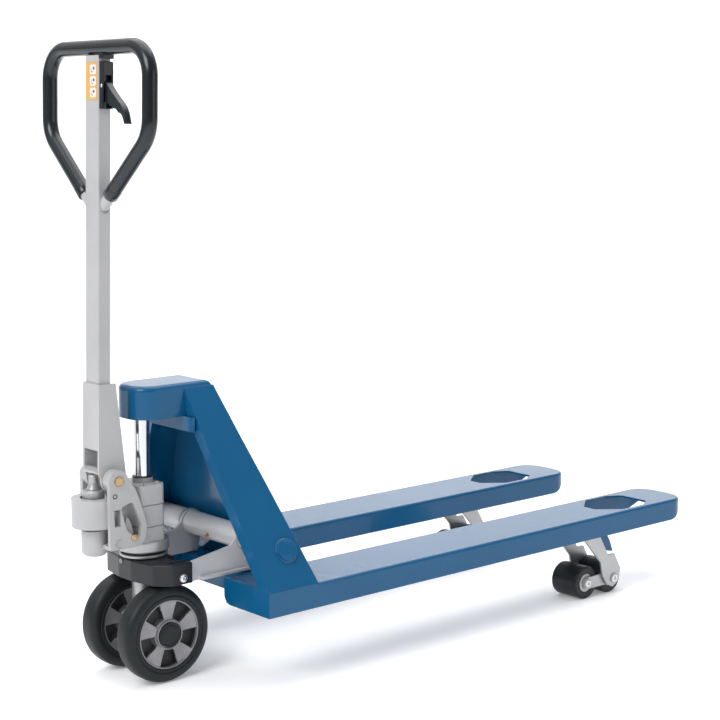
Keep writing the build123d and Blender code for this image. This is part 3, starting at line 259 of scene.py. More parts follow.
def finish_material(name, colour, shade, rough, rough_worn, metal=0.0, coat=0.0, coat_rough=0.05,
                    grain=(900.0, 0.1, 0.05), bump=0.1, wear=None, wear_amount=0.4, dust=0.12, scratches=0.2, patch=5.0,
                    specular=0.5):
    """A surface of one finish: two close tones, grain, rubbed edges, dust and uneven gloss."""
    made = bpy.data.materials.new(name)
    made.use_nodes = True
    tree = made.node_tree
    tree.nodes.clear()
    shader = tree.nodes.new("ShaderNodeBsdfPrincipled")
    out = tree.nodes.new("ShaderNodeOutputMaterial")
    tree.links.new(shader.outputs["BSDF"], out.inputs["Surface"])
    shader.inputs["Specular IOR Level"].default_value = specular
    shader.inputs["Coat Roughness"].default_value = coat_rough
    shader.inputs["Coat Weight"].default_value = coat
    shader.inputs["Coat IOR"].default_value = 1.33
    shader.inputs["Metallic"].default_value = metal
    marks = placed(tree, MARKS, Patch_size=patch, Scratches=scratches)
    fine = placed(tree, GRAIN, Size=grain[0], Depth=grain[1], Coarse_depth=grain[2])
    base = mixed(tree, marks.outputs["Tone"], colour, shade)
    speck = math(tree, "MULTIPLY", fine.outputs["Speckle"], SPECKLE_SHARE)
    base = mixed(tree, speck, base, shade)
    if wear:
        edge = placed(tree, EDGE_WEAR, Amount=wear_amount)
        base = mixed(tree, edge.outputs["Mask"], base, wear)
    film = placed(tree, DUST, Amount=dust)
    base = mixed(tree, film.outputs["Mask"], base, DUST_COLOUR)
    tree.links.new(base, shader.inputs["Base Color"])
    loss = math(tree, "ADD", marks.outputs["Gloss loss"], film.outputs["Mask"], clamp=True)
    tree.links.new(spread(tree, loss, 0.0, 1.0, rough, rough_worn), shader.inputs["Roughness"])
    relief = tree.nodes.new("ShaderNodeBump")
    relief.inputs["Strength"].default_value = bump
    relief.inputs["Distance"].default_value = GRAIN_HEIGHT
    tree.links.new(fine.outputs["Height"], relief.inputs["Height"])
    broken_edge = node(tree, "ShaderNodeBevel", samples=4, in_Radius=EDGE_RADIUS)
    tree.links.new(broken_edge.outputs["Normal"], relief.inputs["Normal"])
    tree.links.new(relief.outputs["Normal"], shader.inputs["Normal"])
    return made


def brushed(name, colour, shade, rough, rough_worn, direction, metal=1.0, wear=None):
    """Bare metal drawn or turned along one direction."""
    made = finish_material(name, colour, shade, rough, rough_worn, metal=metal, grain=(500.0, 0.1, 0.1), bump=0.05,
                           dust=0.05, scratches=0.25, wear=wear)
    tree = made.node_tree
    relief = next(n for n in tree.nodes if n.type == "BUMP")
    lines = noise(tree, 420.0, 2.0, 0.5, direction)
    height = math(tree, "MULTIPLY", lines, 0.5)
    tree.links.new(height, relief.inputs["Height"])
    return made


FINISH = {
    "blue_paint": finish_material(
        "Blue gloss enamel", (0.0022, 0.094, 0.222), (0.002, 0.082, 0.196), 0.22, 0.36, coat=0.45, coat_rough=0.07,
        grain=(260.0, 0.06, 0.3), bump=0.06, wear=(0.08, 0.24, 0.4), wear_amount=0.22, dust=0.04, scratches=0.05,
        specular=0.2),
    "grey_paint": finish_material(
        "Light grey enamel on castings", (0.44, 0.44, 0.445), (0.385, 0.385, 0.39), 0.36, 0.54, coat=0.12,
        coat_rough=0.25, grain=(520.0, 0.55, 0.5), bump=0.22, wear=(0.36, 0.35, 0.34), wear_amount=0.45, dust=0.08,
        scratches=0.15, patch=8.0),
    "black_casting": finish_material(
        "Black casting", (0.008, 0.010, 0.013), (0.013, 0.015, 0.018), 0.32, 0.5, coat=0.2, coat_rough=0.25,
        grain=(420.0, 0.6, 0.7), bump=0.25, wear=(0.09, 0.09, 0.095), wear_amount=0.4, dust=0.03, scratches=0.15,
        patch=12.0, specular=0.3),
    "zinc_steel": brushed("Zinc plated steel", (0.48, 0.48, 0.485), (0.4, 0.405, 0.41), 0.32, 0.5, (1.0, 5.0, 5.0),
                          metal=0.55, wear=(0.68, 0.68, 0.68)),
    "chromed_ram": brushed("Ground chrome", (0.68, 0.69, 0.71), (0.6, 0.61, 0.63), 0.07, 0.16, (4.0, 4.0, 0.6)),
    "brass": brushed("Brass", (0.58, 0.4, 0.22), (0.48, 0.32, 0.17), 0.3, 0.5, (3.0, 3.0, 3.0)),
    "black_nylon": finish_material(
        "Black roller nylon", (0.007, 0.009, 0.01), (0.012, 0.014, 0.016), 0.33, 0.55, grain=(700.0, 0.3, 0.4),
        bump=0.16, specular=0.3, dust=0.03, scratches=0.5, patch=18.0, wear=(0.06, 0.06, 0.062), wear_amount=0.3),
    "black_rubber": finish_material(
        "Black tyre rubber", (0.007, 0.0095, 0.011), (0.012, 0.015, 0.017), 0.44, 0.64, grain=(640.0, 0.5, 0.5),
        bump=0.2, specular=0.3, dust=0.035, scratches=0.25, patch=14.0, wear=(0.05, 0.05, 0.052), wear_amount=0.25),
    "black_plastic": finish_material(
        "Dark grip sleeve", (0.006, 0.009, 0.012), (0.01, 0.014, 0.018), 0.22, 0.38, coat=0.4, coat_rough=0.1,
        specular=0.35, grain=(820.0, 0.45, 0.25), bump=0.12, dust=0.015, scratches=0.2, patch=10.0,
        wear=(0.07, 0.08, 0.09), wear_amount=0.3),
    "cast_aluminium": finish_material(
        "Cast aluminium", (0.32, 0.315, 0.325), (0.22, 0.22, 0.23), 0.36, 0.55, metal=0.6, grain=(900.0, 0.8, 0.5),
        bump=0.3, dust=0.06, scratches=0.3, patch=22.0),
}
SPRING_STEEL = finish_material("Oiled spring steel", (0.018, 0.019, 0.022), (0.03, 0.031, 0.034), 0.3, 0.5, metal=0.5,
                               grain=(500.0, 0.2, 0.2), bump=0.1, dust=0.02)
SILVER_ENAMEL = finish_material("Silver enamel on the rocker", (0.68, 0.68, 0.69), (0.6, 0.6, 0.61), 0.34, 0.5,
                                metal=0.15, coat=0.15, coat_rough=0.2, grain=(520.0, 0.4, 0.4), bump=0.14,
                                wear=(0.4, 0.39, 0.38), dust=0.04, scratches=0.12, patch=8.0)
ROLLER_SEAL = finish_material("Roller bearing seal", (0.02, 0.021, 0.024), (0.035, 0.036, 0.039), 0.35, 0.55, metal=0.2,
                              grain=(500.0, 0.3, 0.3), bump=0.12, dust=0.06)
# Dark material for the rim's pocket floors: painted shade and painted dark reflection deep in the pockets.
POCKET_PAINTED_SHADE = finish_material("Cast pocket with painted shade", (0.02, 0.021, 0.023), (0.035, 0.036, 0.038), 0.5, 0.7, metal=0.3,
                              grain=(420.0, 0.8, 0.7), bump=0.4, dust=0.04, patch=30.0)
POLISHED = brushed("Polished lip", (0.8, 0.8, 0.81), (0.7, 0.7, 0.71), 0.14, 0.3, (2.0, 2.0, 2.0))
BEAD = finish_material("Painted weld bead", (0.004, 0.1, 0.258), (0.0035, 0.09, 0.23), 0.25, 0.42, coat=0.6,
                       grain=(300.0, 0.4, 0.8), bump=0.3, dust=0.05)
GREY_BEAD = finish_material("Grey weld bead", (0.39, 0.39, 0.395), (0.33, 0.33, 0.335), 0.4, 0.6, coat=0.1,
                            grain=(300.0, 0.6, 0.9), bump=0.4, dust=0.08)
LABEL = finish_material("Orange label film", (0.7, 0.4, 0.12), (0.66, 0.36, 0.1), 0.3, 0.42, coat=0.3, coat_rough=0.2,
                        grain=(900.0, 0.2, 0.1), bump=0.05, dust=0.04)
LABEL_FIELD = finish_material("Pale label field", (0.8, 0.79, 0.76), (0.74, 0.73, 0.7), 0.3, 0.42, coat=0.3,
                              coat_rough=0.2, grain=(900.0, 0.2, 0.1), bump=0.05, dust=0.04)
LABEL_MARK = finish_material("Red label mark", (0.5, 0.1, 0.06), (0.42, 0.08, 0.05), 0.3, 0.42, coat=0.3,
                             grain=(900.0, 0.2, 0.1), bump=0.05, dust=0.03)
LABEL_DARK = finish_material("Dark label mark", (0.08, 0.09, 0.12), (0.06, 0.07, 0.1), 0.3, 0.42, coat=0.3,
                             grain=(900.0, 0.2, 0.1), bump=0.05, dust=0.03)


# ------------------------------------------------------------------ mesh tools

def piece(name, mesh, body, slot, material=None, smooth=35.0, bevel=0.0):
    """A finished piece that rides on a body."""
    made = bpy.data.objects.new(name, mesh)
    bpy.context.scene.collection.objects.link(made)
    mesh.materials.clear()
    mesh.materials.append(material or FINISH[slot])
    soften(made, smooth)
    if bevel:
        edge = made.modifiers.new("Broken edge", "BEVEL")
        edge.width = bevel / 1000
        edge.segments = 2
        edge.limit_method = "ANGLE"
        edge.angle_limit = radians(30)
        edge.harden_normals = True
    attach(made, body)
    return made


def soften(made, angle):
    """Shades smooth across edges flatter than angle, in degrees."""
    mesh = made.data
    work = bmesh.new()
    work.from_mesh(mesh)
    for edge in work.edges:
        edge.smooth = len(edge.link_faces) == 2 and edge.calc_face_angle(3.0) < radians(angle)
    for face in work.faces:
        face.smooth = True
    work.to_mesh(mesh)
    work.free()


def meshed(name, points, faces):
    """A mesh whose faces all look outward."""
    mesh = bpy.data.meshes.new(name)
    mesh.from_pydata([tuple(p) for p in points], [], faces)
    mesh.validate()
    work = bmesh.new()
    work.from_mesh(mesh)
    bmesh.ops.recalc_face_normals(work, faces=work.faces)
    work.to_mesh(mesh)
    work.free()
    return mesh


def turning(direction):
    """A rotation that takes the Z axis to direction."""
    return Vector(direction).normalized().to_track_quat("Z", "Y").to_matrix()


def turned(name, profile, centre, direction, steps=64, lean=False, waves=None):
    """A lathe-turned mesh. The profile gives (distance along, radius), and radius 0 closes an end."""
    frame_in = turning(direction)
    rings, points = [], []
    for along, radius in profile:
        if radius <= 0:
            rings.append([len(points)])
            points.append(Vector((0, 0, along)))
            continue
        ring = []
        for step in range(steps):
            angle = 2 * pi * step / steps
            reach = radius + (waves(angle, along, radius) if waves else 0.0)
            ring.append(len(points))
            points.append(Vector((reach * cos(angle), reach * sin(angle), along)))
        rings.append(ring)
    faces = []
    for a, b in zip(rings, rings[1:]):
        for step in range(steps):
            nxt = (step + 1) % steps
            if len(a) == 1 and len(b) == 1:
                continue
            if len(a) == 1:
                faces.append((a[0], b[step], b[nxt]))
            elif len(b) == 1:
                faces.append((a[step], b[0], a[nxt]))
            else:
                faces.append((a[step], b[step], b[nxt], a[nxt]))
    if len(rings[0]) > 1 and len(rings[-1]) > 1 and profile[0] != profile[-1]:
        for step in range(steps):
            nxt = (step + 1) % steps
            faces.append((rings[-1][step], rings[0][step], rings[0][nxt], rings[-1][nxt]))
    centre = Vector(centre)
    laid = [centre + frame_in @ p for p in points]
    return meshed(name, [place(*upright(p, lean)) for p in laid], faces)


def upright(p, lean):
    """Leans a point of the upright handle to its resting angle."""
    if not lean:
        return p
    return HANDLE_PIVOT + Matrix.Rotation(HANDLE_LEAN, 3, "Y") @ (Vector(p) - HANDLE_PIVOT)


def plate(name, outline, thickness, centre, across, up, lean=False):
    """A flat plate whose outline is drawn along two directions, with its back on centre."""
    across, up, centre = Vector(across).normalized(), Vector(up).normalized(), Vector(centre)
    out = across.cross(up)
    count = len(outline)
    points = []
    for depth in (0.0, thickness):
        for u, v in outline:
            points.append(place(*upright(centre + across * u + up * v + out * depth, lean)))
    faces = [tuple(range(count)), tuple(range(2 * count - 1, count - 1, -1))]
    for i in range(count):
        j = (i + 1) % count
        faces.append((i, j, count + j, count + i))
    return meshed(name, points, faces)


def rounded_box(width, height, radius, steps=5):
    """The outline of a rectangle with round corners."""
    points = []
    for sx, sy, start in ((1, 1, 0), (-1, 1, 90), (-1, -1, 180), (1, -1, 270)):
        for step in range(steps + 1):
            angle = radians(start + 90 * step / steps)
            points.append((sx * (width / 2 - radius) + radius * cos(angle),
                           sy * (height / 2 - radius) + radius * sin(angle)))
    return points


def circle(radius, steps):
    """The outline of a disc."""
    return [(radius * cos(2 * pi * s / steps), radius * sin(2 * pi * s / steps)) for s in range(steps)]


def curved(points, steps=7):
    """A smooth closed outline through the points."""
    smooth = []
    count = len(points)
    for i in range(count):
        a, b, c, d = (Vector(points[(i + k) % count]) for k in (-1, 0, 1, 2))
        for step in range(steps):
            t = step / steps
            smooth.append(tuple(0.5 * (2 * b + (c - a) * t + (2 * a - 5 * b + 4 * c - d) * t * t
                                       + (3 * b - a - 3 * c + d) * t ** 3)))
    return smooth


def bead(name, path, radius, ripple=0.16, pitch=3.2, closed=False, sides=10, lean=False, plain=False):
    """A round bead laid along a path, rippled like a run of weld."""
    path = [Vector(p) for p in path]
    if closed:
        path = path + [path[0]]
    spots, walked = [], [0.0]
    for a, b in zip(path, path[1:]):
        walked.append(walked[-1] + (b - a).length)
    total = walked[-1]
    count = max(6, int(total / 0.9)) if not plain else max(6, int(total / 3.0))
    for step in range(count + (0 if closed else 1)):
        at = total * step / count
        index = max(i for i, w in enumerate(walked[:-1]) if w <= at + 1e-9)
        a, b = path[index], path[index + 1]
        spots.append((a.lerp(b, (at - walked[index]) / max(1e-9, walked[index + 1] - walked[index])), at))
    points, rings = [], []
    size = len(spots)
    for i, (spot, at) in enumerate(spots):
        before = spots[(i - 1) % size][0] if closed or i else spots[0][0]
        after = spots[(i + 1) % size][0] if closed or i < size - 1 else spots[-1][0]
        ahead = (after - before).normalized()
        side = ahead.cross(Vector((0, 0, 1)) if abs(ahead.z) < 0.9 else Vector((1, 0, 0))).normalized()
        over = side.cross(ahead)
        swell = 1.0 if plain else 1.0 + ripple * (abs(sin(pi * at / pitch)) - 0.5)
        end = 1.0
        if not closed and not plain:
            end = min(1.0, 0.35 + min(at, total - at) / (2.2 * radius))
        ring = []
        for s in range(sides):
            angle = 2 * pi * s / sides
            reach = radius * swell * end
            ring.append(len(points))
            points.append(place(*upright(spot + side * reach * cos(angle) + over * reach * sin(angle), lean)))
        rings.append(ring)
    faces = []
    pairs = list(zip(rings, rings[1:])) + ([(rings[-1], rings[0])] if closed else [])
    for a, b in pairs:
        for s in range(sides):
            t = (s + 1) % sides
            faces.append((a[s], b[s], b[t], a[t]))
    if not closed:
        faces.append(tuple(rings[0]))
        faces.append(tuple(reversed(rings[-1])))
    return meshed(name, points, faces)


# ------------------------------------------------------------------ CAD nodes keep their shapes and get their finishes

slot_of = {entry["node"]: entry["material_slot"] for entry in frame["record"]["subparts"]}
for name, made in nodes.items():
    made.data.materials.clear()
    made.data.materials.append(FINISH[slot_of[name]])
for name in ("rocker_tube", "rocker_arms", "rod_levers", "push_rod_right", "push_rod_left"):
    nodes[name].data.materials[0] = SILVER_ENAMEL
for side in SIDES:
    for row in ("front", "rear"):
        nodes[f"roller_core_{row}_{side}"].data.materials[0] = ROLLER_SEAL


# ------------------------------------------------------------------ steering wheels

TYRE_SIDE = [
    (0.0, 100.0), (9.0, 100.0), (14.5, 99.2), (18.6, 97.0), (21.8, 93.6), (23.6, 89.4), (24.3, 85.0), (24.5, 81.6),
    (24.2, 80.4), (23.2, 79.8), (22.9, 79.0), (23.4, 78.2), (24.4, 77.6), (24.7, 75.4), (24.4, 73.0), (23.4, 71.2),
    (22.4, 70.0),
]
RIM_FACE = 20.5
POCKET_FLOOR = 7.0
POCKET_INNER, POCKET_OUTER = 34.0, 67.4
SPOKES = 5
SPOKE_HALF_ANGLE = radians(18.5)


def step_between(value, low, high):
    """Rises smoothly from 0 at low to 1 at high."""
    t = min(1.0, max(0.0, (value - low) / (high - low)))
    return t * t * (3 - 2 * t)


def rim_height(angle, radius):
    """How far the rim's face stands from the wheel's middle at one place."""
    turn = (angle - pi / 2) % (2 * pi / SPOKES)
    turn = min(turn, 2 * pi / SPOKES - turn)
    spoke = 1 - step_between((turn - SPOKE_HALF_ANGLE) * radius, -1.4, 1.6)
    land = max(1 - step_between(radius, 31.5, 34.0), step_between(radius, 66.6, 67.8), spoke)
    dish = 1.6 * sin(pi * min(1.0, max(0.0, (radius - 32) / 35)))
    return POCKET_FLOOR + (RIM_FACE - dish - POCKET_FLOOR) * land + 2.6 * step_between(radius, 66.9, 68.0)


def spoked_rim(name, centre):
    """A cast rim with five broad spokes and deep pockets on both faces."""
    radii = [20.0, 27.0, 31.0, 31.8, 32.6, 33.4, 34.2, 37.0, 42.0, 47.0, 52.0, 57.0, 61.0, 64.5, 66.2, 66.8, 67.3, 67.8,
             68.4, 69.2, 70.0]
    around = 360
    points, faces = [], []
    for out in (1, -1):
        for radius in radii:
            for step in range(around):
                angle = 2 * pi * step / around
                points.append(place(centre[0] + radius * cos(angle), centre[1] + out * rim_height(angle, radius),
                                    centre[2] + radius * sin(angle)))
    rows = len(radii)
    for half in range(2):
        for row in range(rows - 1):
            for step in range(around):
                a = (half * rows + row) * around
                nxt = (step + 1) % around
                faces.append((a + step, a + nxt, a + around + nxt, a + around + step))
    for row in (0, rows - 1):
        for step in range(around):
            nxt = (step + 1) % around
            a, b = row * around, (rows + row) * around
            faces.append((a + step, b + step, b + nxt, a + nxt))
    return meshed(name, points, faces)


for side, sign in SIDES.items():
    centre = (0, sign * WHEEL_Y, WHEEL_AXLE_Z)
    half = TYRE_SIDE[1:]
    profile = [(-a, r) for a, r in reversed(half)] + TYRE_SIDE
    tyre = piece("tyre_" + side, turned("tyre_" + side, profile, centre, (0, 1, 0), 128), "wheel_" + side,
                 "black_rubber", smooth=40)
    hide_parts("wheel_tyre_" + side)
    rim = piece("spoked_rim_" + side, spoked_rim("rim_" + side, centre), "wheel_" + side, "cast_aluminium", smooth=50)
    rim.data.materials.append(POCKET_PAINTED_SHADE)
    # Faces deep in the pockets take the darker material, as painted shade and painted dark reflection.
    for face in rim.data.polygons:
        spot = face.center - place(*centre)
        depth = abs(spot.y) * 1000
        reach = hypot(spot.x, spot.z) * 1000
        face.material_index = int(depth < RIM_FACE - 3.0 and POCKET_INNER < reach < POCKET_OUTER)
    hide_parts("wheel_rim_" + side)
    for face, out in (("outer", sign), ("inner", -sign)):
        cap = [(19.0, 25.2), (25.0, 25.2), (25.9, 24.4), (26.1, 22.8), (25.2, 21.6), (25.0, 20.4), (26.0, 18.8),
               (26.5, 12.0), (26.6, 0.0)]
        piece(f"hub_cap_{side}_{face}", turned("cap", cap, centre, (0, out, 0), 72), "wheel_" + side,
              "black_rubber")
        ring = [(20.0, 27.0), (25.2, 27.4), (25.8, 28.4), (25.7, 29.4), (25.0, 30.2), (20.0, 30.6)]
        piece(f"hub_ring_{side}_{face}", turned("ring", ring, centre, (0, out, 0), 96), "wheel_" + side,
              "cast_aluminium")


# ------------------------------------------------------------------ load rollers

for side, sign in SIDES.items():
    middle = sign * ROLLER_Y
    for row, x, body in (("front", FRONT_AXLE_X, "front_roller_"), ("rear", REAR_AXLE_X, "rear_roller_")):
        for face, out in (("outer", sign), ("inner", -sign)):
            shield = [(36.9, 12.9), (37.5, 13.6), (37.5, 19.4), (37.1, 20.0), (37.1, 21.6), (36.2, 22.1)]
            piece(f"bearing_shield_{row}_{side}_{face}",
                  turned("shield", shield, (x, middle, ROLLER_AXLE_Z), (0, out, 0), 72), body + side, "zinc_steel")
    # The rear clips are thinner, because the bracket's cheeks pass close beside them.
    for face, out in (("outer", sign), ("inner", -sign)):
        for row, x, reach, rise, body in (("front", FRONT_AXLE_X, 54.8, 0.5, "bracket_"),
                                          ("rear", REAR_AXLE_X, 46.4, 0.28, "bogie_")):
            clip = [(0.0, 5.0), (rise, 5.0), (rise, 8.6), (rise / 2, 9.4), (0.0, 9.4)]
            at = (x, middle + out * reach, ROLLER_AXLE_Z)
            piece(f"axle_clip_{row}_{side}_{face}", turned("clip", clip, at, (0, out, 0), 48), body + side,
                  "zinc_steel", POLISHED)


# ------------------------------------------------------------------ crosshead, rocker and pivots

for side, sign in SIDES.items():
    out = (0, sign, 0)
    ring = [(0.0, 0.0), (0.6, 0.0), (0.6, 2.8), (1.1, 3.2), (1.1, 6.4), (0.6, 7.2), (0.0, 7.2)]
    piece("crosshead_bolt_face_" + side, turned("face", ring, (18.4, sign * 115.0, 218.0), out, 48), "crosshead",
          "zinc_steel", POLISHED)
    collar = [(0.0, 25.1), (0.0, 27.8), (1.2, 28.0), (4.8, 28.0), (6.0, 27.8), (6.0, 25.1)]
    piece("rocker_collar_" + side, turned("collar", collar, (ROCKER_X, sign * 101.0, ROCKER_Z), out, 72), "rocker",
          "zinc_steel")

nipple = [(0.0, 4.2), (2.6, 4.2), (2.9, 3.4), (3.0, 2.3), (6.0, 2.2), (6.4, 2.9), (7.6, 2.9), (8.6, 1.6), (8.9, 0.0)]
out = Vector((-0.78, 0, -0.26)).normalized()
nipple_foot = Vector((ROCKER_X, 4.0, ROCKER_Z)) + out * 24.8
piece("grease_nipple", turned("nipple", nipple, nipple_foot, out, 32), "rocker", "brass")

slope = hypot(SIDE_PLATE_RUN, SIDE_PLATE_RISE)
lean_in = SIDE_PLATE_RUN / slope
lean_up = SIDE_PLATE_RISE / slope
boss_radius = 24.3
for side, sign in SIDES.items():
    normal = Vector((0, sign * lean_up, lean_in))
    along = (ROCKER_Z - SIDE_PLATE_FOOT_Z) / lean_up
    foot = Vector((SIDE_PLATE_FOOT_X, sign * FRAME_HALF, SIDE_PLATE_FOOT_Z))
    foot = foot + Vector((0, -sign * lean_in, lean_up)) * along
    dish = [(5.0, 23.2), (5.5, 22.4), (5.7, 20.8), (5.2, 18.6), (4.95, 17.0), (5.2, 15.0), (5.3, 0.0)]
    piece("pivot_boss_face_" + side, turned("dish", dish, foot, normal, 80), "frame", "blue_paint")
    seat = turning(normal)
    weld = [foot + normal * 0.4 + seat @ Vector((boss_radius * cos(a), boss_radius * sin(a), 0))
            for a in (2 * pi * s / 60 for s in range(60))]
    piece("pivot_boss_weld_" + side, bead("weld", weld, 1.5, closed=True), "frame", "blue_paint", BEAD)
    # Weld along the front edge, where the side plate meets the load backrest.
    halfway_y = FRAME_HALF - SIDE_PLATE_RUN * 0.484
    front = [(237.0, sign * 268.8, 202.0), (190.0, sign * halfway_y, 388.7), (142.0, sign * 57.4, 578.0)]
    piece("front_edge_weld_" + side, bead("weld", front, 1.1, ripple=0.08), "frame", "blue_paint", BEAD)


# ------------------------------------------------------------------ pump and handle casting

# The return spring is an open coil, which on the truck shortens as the plunger is pressed; here it is drawn at one
# length.
coil_path = []
for step in range(COIL_STEPS + 1):
    part = step / COIL_STEPS
    angle = 2 * pi * COIL_TURNS * part
    coil_path.append((PLUNGER_X + COIL_RADIUS * cos(angle), COIL_RADIUS * sin(angle),
                      COIL_FOOT + (COIL_TOP - COIL_FOOT) * part))
coil = piece("return_coil", bead("coil", coil_path, COIL_WIRE, plain=True), "steering", "zinc_steel", SPRING_STEEL)
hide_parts("plunger_spring")
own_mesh(coil)


def six_flats(depth, least):
    """Six flats cut into the turned rings wider than least."""
    return lambda angle, along, radius: -depth * (1 - cos(6 * angle)) if radius > least else 0.0


screw = [(0.0, 4.6), (1.8, 4.6), (2.3, 4.1), (2.3, 2.3), (0.9, 2.0), (0.9, 0.0)]
stud = [(0.0, 5.0), (0.6, 5.0), (0.6, 3.4), (-1.6, 3.0), (-1.6, 0.0)]
flats = [(0.0, 8.4), (0.5, 8.4), (0.5, 5.6), (-0.7, 5.2), (-0.7, 0.0)]
nut = [(0.0, 6.6), (1.0, 7.0), (4.4, 7.0), (5.2, 6.4), (5.2, 3.6), (6.6, 3.4), (6.8, 0.0)]
release_arm = curved([(-66.0, 297.0), (-62.0, 292.0), (-53.0, 293.0), (-49.0, 300.0), (-50.5, 314.0), (-56.0, 331.0),
                      (-62.0, 341.0), (-67.0, 339.0), (-67.5, 326.0), (-66.5, 311.0)])
for side, sign in SIDES.items():
    out = (0, sign, 0)
    plug_at = (HANDLE_PIVOT.x, sign * 59.0, HANDLE_PIVOT.z)
    piece("pivot_plug_face_" + side, turned("plug", flats, plug_at, out, 40), "steering", "brass")
    piece("cheek_plug_" + side, turned("stud", stud, (-100.0, sign * 55.0, 392.0), out, 32), "steering",
          "grey_paint", FINISH["black_casting"])
    nut_at = (-58.0, sign * 53.0, 303.0)
    piece("release_nut_" + side, turned("nut", nut, nut_at, out, 48, waves=six_flats(0.55, 6.0)), "release", "brass")
    wire = []
    for step in range(15):
        angle = radians(60 + 250 * step / 14)
        wire.append((-92.0 + 8.0 * cos(angle), sign * 56.2, 295.0 + 9.0 * sin(angle)))
    piece("retaining_wire_" + side, bead("wire", wire, 0.8, plain=True), "steering", "zinc_steel")
    arm = plate("arm", release_arm, 4.0, (0, sign * 38.0 + 2.0, 0), (1, 0, 0), (0, 0, 1))
    piece("release_arm_" + side, arm, "release", "grey_paint", bevel=0.6)

piece("face_screw", turned("screw", screw, (-46.0, 12.0, 240.0), (-1, 0, 0), 32), "crosshead", "zinc_steel")

wiper = [(410.0, 16.4), (411.6, 16.4), (412.4, 17.2), (412.6, 19.0), (412.0, 20.6), (410.2, 21.0)]
piece("ram_wiper", turned("wiper", wiper, (0, 0, 0), (0, 0, 1), 64), "steering", "black_casting")
race = [(250.0, 46.0), (250.6, 48.6), (253.4, 49.2), (255.6, 48.8), (256.2, 46.0)]
piece("thrust_race_edge", turned("race", race, (0, 0, 0), (0, 0, 1), 96), "steering", "zinc_steel")
pump_screw = [(0.0, 5.2), (2.6, 5.2), (3.2, 4.6), (3.2, 2.7), (1.2, 2.5), (1.2, 0.0)]
for side, sign in SIDES.items():
    for row, x in (("rear", -24.0), ("front", 14.0)):
        head = turned("screw", pump_screw, (x, sign * 33.0, 400.0), (0, 0, 1), 32)
        piece(f"pump_screw_{side}_{row}", head, "steering", "zinc_steel")
valve = [(0.0, 8.0), (1.2, 8.6), (5.0, 8.6), (6.0, 8.0), (6.0, 5.2), (9.0, 5.0), (9.6, 4.2), (9.6, 0.0)]
piece("relief_valve_cap", turned("valve", valve, (25.0, 16.0, 336.0), (1, 0, 0), 48, waves=six_flats(0.5, 7.0)),
      "steering", "brass")
filler = [(0.0, 7.0), (1.0, 7.6), (4.0, 7.6), (5.0, 7.0), (5.0, 3.4), (2.6, 3.0), (2.6, 0.0)]
piece("oil_filler_plug", turned("filler", filler, (25.0, -18.0, 382.0), (1, 0, 0), 48), "steering", "zinc_steel")

neck = [(400.1, 9.1), (400.4, 14.0), (402.0, 13.6), (406.0, 11.4), (414.0, 9.6), (414.0, 9.1)]
piece("plunger_neck", turned("neck", neck, (PLUNGER_X, 0, 0), (0, 0, 1), 56), "plunger", "zinc_steel")


# ------------------------------------------------------------------ handle

def label_layer(name, outline, thickness, lift, y, z, finish):
    """A thin printed layer on the rear face of the handle tube."""
    layer = plate(name, outline, thickness, (TUBE_REAR_X - lift, y, z), (0, -1, 0), (0, 0, 1), lean=True)
    piece(name, layer, "handle", "grey_paint", finish)


label_layer("label_film", rounded_box(40.0, 72.0, 2.0), 0.35, 0.05, 0.0, LABEL_Z, LABEL)
label_bend = [(-6.5, -5.5), (2.0, -5.5), (2.0, -3.9), (-4.9, -3.9), (-4.9, 4.0), (-6.5, 4.0)]
for row in range(3):
    mid = LABEL_Z + (row - 1) * LABEL_PITCH
    label_layer(f"label_field_{row}", rounded_box(21.0, 18.5, 4.0), 0.12, 0.42, -5.0, mid, LABEL_FIELD)
    label_layer(f"label_dot_{row}", circle(3.2, 28), 0.08, 0.56, -8.0, mid + 2.0, LABEL_DARK)
    label_layer(f"label_line_{row}", label_bend, 0.08, 0.56, -5.0, mid, LABEL_MARK)

cap = rounded_box(27.4, 47.4, 3.0)
piece("tube_top_cap", plate("cap", cap, 2.0, (TUBE_X, 0, 1247.0), (1, 0, 0), (0, 1, 0), lean=True), "handle",
      "black_plastic", bevel=0.5)
saddle = [(-13.0, 0.0), (13.0, 0.0), (13.0, 10.0), (8.0, 14.0), (-8.0, 14.0), (-13.0, 10.0)]
piece("grip_saddle", plate("saddle", saddle, 33.0, (TUBE_X, -4.0, 1241.0), (1, 0, 0), (0, 0, 1), lean=True), "handle",
      "black_plastic", bevel=1.2)
for end, offset in (("rear", -10.4), ("front", 10.4)):
    rib_at = (TUBE_X + offset, -24.0, 1191.0)
    rib = plate("rib", rounded_box(2.0, 84.0, 0.9), 13.0, rib_at, (1, 0, 0), (0, 0, 1), lean=True)
    piece("housing_rib_" + end, rib, "handle", "black_plastic", bevel=0.5)
finger_lever = curved([
    (-30.0, 1196.0), (-37.0, 1197.0), (-54.0, 1182.0), (-74.0, 1166.0), (-92.0, 1152.0), (-101.5, 1138.0),
    (-107.5, 1121.0), (-108.5, 1118.0), (-103.0, 1117.5), (-100.0, 1122.0), (-95.0, 1132.0), (-87.5, 1138.0),
    (-82.0, 1138.5), (-76.0, 1143.5), (-70.0, 1146.5), (-64.5, 1147.0), (-58.5, 1150.5), (-52.5, 1152.5),
    (-46.0, 1155.5), (-40.0, 1158.5), (-34.0, 1161.0), (-31.5, 1172.0),
])
lever = piece("finger_lever", plate("lever", finger_lever, 13.0, (TUBE_X - 6.5, 0, 0), (0, 1, 0), (0, 0, 1), lean=True),
              "control_lever", "black_plastic", smooth=30, bevel=1.8)
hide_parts("control_lever")
pin = [(0.0, 0.0), (0.8, 0.0), (1.0, 1.6), (1.0, 3.0), (0.4, 3.6), (0.0, 3.6)]
for end, out in (("rear", -1), ("front", 1)):
    piece("lever_pin_" + end, turned("pin", pin, (TUBE_X + out * 12.0, -31.0, 1190.0), (out, 0, 0), 28, lean=True),
          "handle", "zinc_steel", POLISHED)

